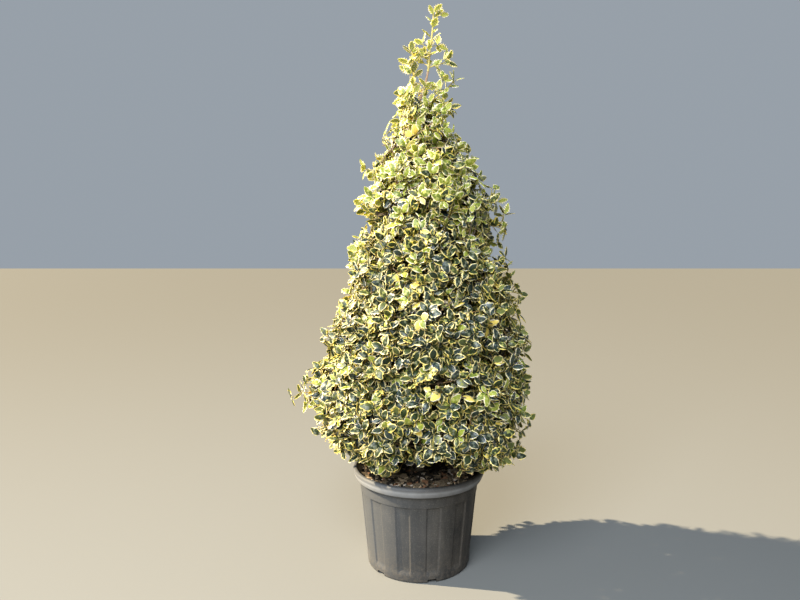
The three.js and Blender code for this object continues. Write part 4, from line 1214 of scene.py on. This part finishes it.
def spray_deals(tip, share):
    """How often each deal of colours comes in a spray: the yellow-green ones more so near the top, on the
    left and here and there, as new growth and partly as painted sunlight, and those with paler, greyer
    middles more so on the side the sun comes from, as painted sunlight and sheen."""
    top = held((tip.z - FRESH_AND_PAINTED_SUNLIGHT_TOP[0]) / FRESH_AND_PAINTED_SUNLIGHT_TOP[1])
    newly_grown = draw.uniform() < share * FRESH_AND_PAINTED_SUNLIGHT_SIDE[tip.x < 0]
    fresh = min(top + FRESH_MORE[newly_grown], 1)
    sunlit = held((-tip.x - PAINTED_SUNLIGHT_SIDE[0]) / PAINTED_SUNLIGHT_SIDE[1])
    painted_sunlight = PAINTED_SUNLIGHT_MOST * sunlit * held(tip.z - 0.4, 0.1, 1)
    older = DEAL_SHARES * (1 - painted_sunlight) + PAINTED_SUNLIGHT_DEALS * painted_sunlight
    return older * (1 - fresh) + FRESH_DEALS * fresh


def foliage_piece(name, sprays, shapes, nodes):
    """All the leaves of one part of the crown. A spray is its leaves, its shares of deals and its scale."""
    axes, places, deals, kinds = [], [], [], []
    for leaves, shares, scale in sprays:
        shares = shares / shares.sum()
        favourite = draw.choice(len(shares), p=shares)
        for leaf_axes, place in leaves:
            own = favourite if draw.uniform() < SPRAY_MATCH else draw.choice(len(shares), p=shares)
            axes.append(leaf_axes * scale * draw.uniform(*LEAF_SCALE))
            places.append(place)
            deals.append(own)
            kinds.append(draw.choice(len(shapes), p=shapes))
    axes, places, deals, kinds = (np.array(a) for a in (axes, places, deals, kinds))
    groups = [
        (leaf_arrays[k], axes[kinds == k], places[kinds == k], DEAL_SLOTS[deals[kinds == k]])
        for k in range(len(leaf_arrays))
    ]
    add_to_plant(join_copies(name, groups, LEAF_SKINS), "foliage", *nodes)


for row in ROWS:
    in_row = [i for i, bough in enumerate(BOUGHS) if bough["row"] == row]
    for part, own in enumerate(np.array_split(in_row, ROW_PIECES.get(row, 1))):
        sprays = []
        for line, mass in twig_lines:
            if mass in own:
                count = int(draw.integers(*TWIG_SPRAY["leaves"]))
                leaves = leaves_on(line, count, TWIGS["tip"], TWIG_SPRAY["first"])
                sprays.append((leaves, spray_deals(line[-1], TWIG_SPRAY["fresh"]), TWIG_SPRAY["scale"]))
        for line, mass in shoot_lines:
            if mass in own:
                count = int(draw.integers(*SHOOT_SPRAY["leaves"]))
                leaves = leaves_on(line, count, SHOOTS["tip"], SHOOT_SPRAY["first"])
                young = draw.uniform() < YOUNG_SHARE
                shares = YOUNG_DEALS if young else spray_deals(line[-1], SHOOT_SPRAY["fresh"])
                sprays.append((leaves, shares, YOUNG_SCALE if young else SHOOT_SPRAY["scale"]))
        nodes = ["foliage_" + BOUGHS[i]["name"] for i in own]
        spiny = ROW_SPINY.get(row, 0.0)
        shapes = SHAPE_SHARES * (1 - spiny) + TOP_SHAPE_SHARES * spiny
        foliage_piece(f"leaves_{row}_{part + 1}", sprays, shapes, nodes)

for name, lines in top_lines.items():
    sprays = []
    for line, _, count in lines:
        leaves = leaves_on(line, count, TOP_SPRAY["stem"], TOP_SPRAY["first"], True)
        sprays.append((leaves, spray_deals(line[-1], TOP_SPRAY["fresh"]), TOP_SPRAY["scale"]))
    foliage_piece("leaves_" + name, sprays, TOP_SHAPE_SHARES, ["foliage_" + name])

# The shade leaves: old, dull leaves left inside the crown on the branches, coloured darker than the outer
# leaves, which is partly painted shade. They are what shows in the dark gaps between the outer sprays, and
# they keep the light from passing through.
SHADE_LEAVES = 7000
SHADE_SIZE = 0.95
SHADE_SHARE = 0.75
SHADE_INSET = 0.025
SHADE_TOP = 1.98
SHADE_ALONG = 0.62  # how far along a branch or a twig they still stand
SHADE_REACH = 0.08  # how far from its foot a shade leaf's tip is taken to be
SHADE_LENGTH = 0.062
SHADE_WIDTH = 0.55
SHADE_THICKNESS = 0.03
SHADE_RIDGE = 0.02
SHADE_LEAN = (0.7, 1.4)
SHADE_ROLL = 0.4
SHADE_OPEN = (1.45, 0.5)  # above which height the sun reaches them and their colours are painted paler, and over what height


def model_shade_leaf():
    """A plain oval leaf, ridged along its midrib."""
    deselect()
    bpy.ops.mesh.primitive_circle_add(vertices=8, radius=0.5, location=(0.5, 0, 0), fill_type="NGON")
    leaf = begin("shade_leaf_shape")
    resize((1, SHADE_WIDTH, 1), (0.5, 0, 0))
    bpy.ops.mesh.extrude_region_move(TRANSFORM_OT_translate={"value": (0, 0, SHADE_THICKNESS)})
    bpy.ops.mesh.merge(type="CENTER")
    select_points(leaf, lambda p: abs(p.y) < 1e-3 and p.z < 0.01)
    move((0, 0, SHADE_RIDGE))
    bpy.ops.mesh.select_all(action="SELECT")
    resize((SHADE_LENGTH, SHADE_LENGTH, SHADE_LENGTH), (0, 0, 0))
    close_up()
    return leaf


# The darkest colours are partly painted shade, and the cream one, common near the top, partly painted
# sunlight.
SHADE_COLOURS = {  # the colour, how rough it is and how often it comes
    "shade_deep": ((0.014, 0.022, 0.010), 0.5, 0.55),
    "shade_olive": ((0.060, 0.062, 0.020), 0.5, 0.24),
    "shade_brown": ((0.055, 0.038, 0.018), 0.6, 0.11),
    "shade_cream": ((0.420, 0.390, 0.140), 0.5, 0.10),
}
SHADE_SHARES = np.array([share for _, _, share in SHADE_COLOURS.values()])
SHADE_PAINTED_SUNLIGHT_SHARES = np.array([0.05, 0.30, 0.10, 0.55])  # the same, paler where the crown's top lets the sun in: painted sunlight
shade_axes, shade_places = [], []
shade_lines = branch_lines + [line for line, _ in twig_lines]
for number in range(SHADE_LEAVES):
    line = shade_lines[int(draw.integers(len(shade_lines)))]
    share = draw.uniform(0.0, SHADE_ALONG) * (len(line) - 1)
    step = int(share)
    place = line[step].lerp(line[step + 1], share - step)
    way = (line[step + 1] - line[step]).normalized()
    turn, lean = draw.uniform(0, math.tau), draw.uniform(*SHADE_LEAN)
    axes = leaf_frame(place, way, turn, lean, draw.normal(0, SHADE_ROLL))
    inside = (place - trunk_at(place.z)).xy
    deep = inside.length < SHADE_SHARE * reach(place.z, math.atan2(inside.y, inside.x)) - SHADE_INSET
    tip = place + Vector(axes[:, 0]) * SHADE_REACH
    if deep and place.z < SHADE_TOP and above_rim(tip, LEAF_CLEAR):
        shade_axes.append(axes * SHADE_SIZE * draw.uniform(0.8, 1.2))
        shade_places.append(place)
# Shade leaves higher up are dealt paler colours: painted sunlight.
painted_sunlight_shares = [held((place.z - SHADE_OPEN[0]) / SHADE_OPEN[1]) for place in shade_places]
shade_slots = np.array([
    [draw.choice(len(SHADE_SHARES), p=SHADE_SHARES * (1 - share) + SHADE_PAINTED_SUNLIGHT_SHARES * share)]
    for share in painted_sunlight_shares
])
shade_group = (shape_arrays(model_shade_leaf()), np.array(shade_axes), np.array(shade_places), shade_slots)
shade_skins = [leaf_skin(name, colour, roughness) for name, (colour, roughness, _) in SHADE_COLOURS.items()]
add_to_plant(join_copies("shade_leaves", [shade_group], shade_skins), "foliage")

# The floor, the lights and the camera: a plain pale floor under a bright, slightly blue sky, with a
# warm sun high on the left, and a camera at the height and distance that the container was seen from.
FLOOR_SIZE = 60
CAMERA_PLACE = (-0.091, -3.08, 1.575)
CAMERA_DOWN = math.radians(5.5)
CAMERA_LENS = 29.25
SUN_WAY = Vector((0.78, -0.08, -0.62))
FLOOR_COLOUR = (0.210, 0.214, 0.205)
SKY = {"Color": (0.81, 0.90, 1.0), "Strength": 0.36}
SKY_LIGHT_PLACE = (-2.2, -6.0, 5.6)
SKY_LIGHT_AIM = Vector((0, 0, 1.2))

deselect()
bpy.ops.mesh.primitive_plane_add(size=FLOOR_SIZE)
floor = bpy.context.object
floor.name = "floor"
floor_material, floor_tree, floor_shader, _ = new_material("pale_floor")
feed(floor_tree, floor_shader, {"Base Color": FLOOR_COLOUR, "Roughness": 0.9})
floor.data.materials.append(floor_material)

world = bpy.data.worlds.new("pale_sky")
world.use_nodes = True
feed(world.node_tree, world.node_tree.nodes["Background"], SKY)
bpy.context.scene.world = world
bpy.context.scene.view_settings.view_transform = "Standard"
bpy.context.scene.view_settings.look = "Medium High Contrast"

bpy.ops.object.light_add(type="SUN", rotation=SUN_WAY.to_track_quat("-Z", "Y").to_euler())
sun = bpy.context.object
sun.name = "sun"
sun.data.energy = 8.3
sun.data.angle = math.radians(0.9)
sun.data.color = (1.0, 0.82, 0.56)

bpy.ops.object.light_add(type="AREA", location=SKY_LIGHT_PLACE)
sky_light = bpy.context.object
sky_light.name = "open_sky"
sky_light.rotation_euler = (SKY_LIGHT_AIM - sky_light.location).to_track_quat("-Z", "Y").to_euler()
sky_light.data.size = 5
sky_light.data.energy = 840
sky_light.data.color = (0.88, 0.93, 1.0)

bpy.ops.object.camera_add(location=CAMERA_PLACE, rotation=(math.pi / 2 - CAMERA_DOWN, 0, 0))
camera = bpy.context.object
camera.name = "camera"
camera.data.lens = CAMERA_LENS
camera.data.sensor_width = 36
bpy.context.scene.camera = camera
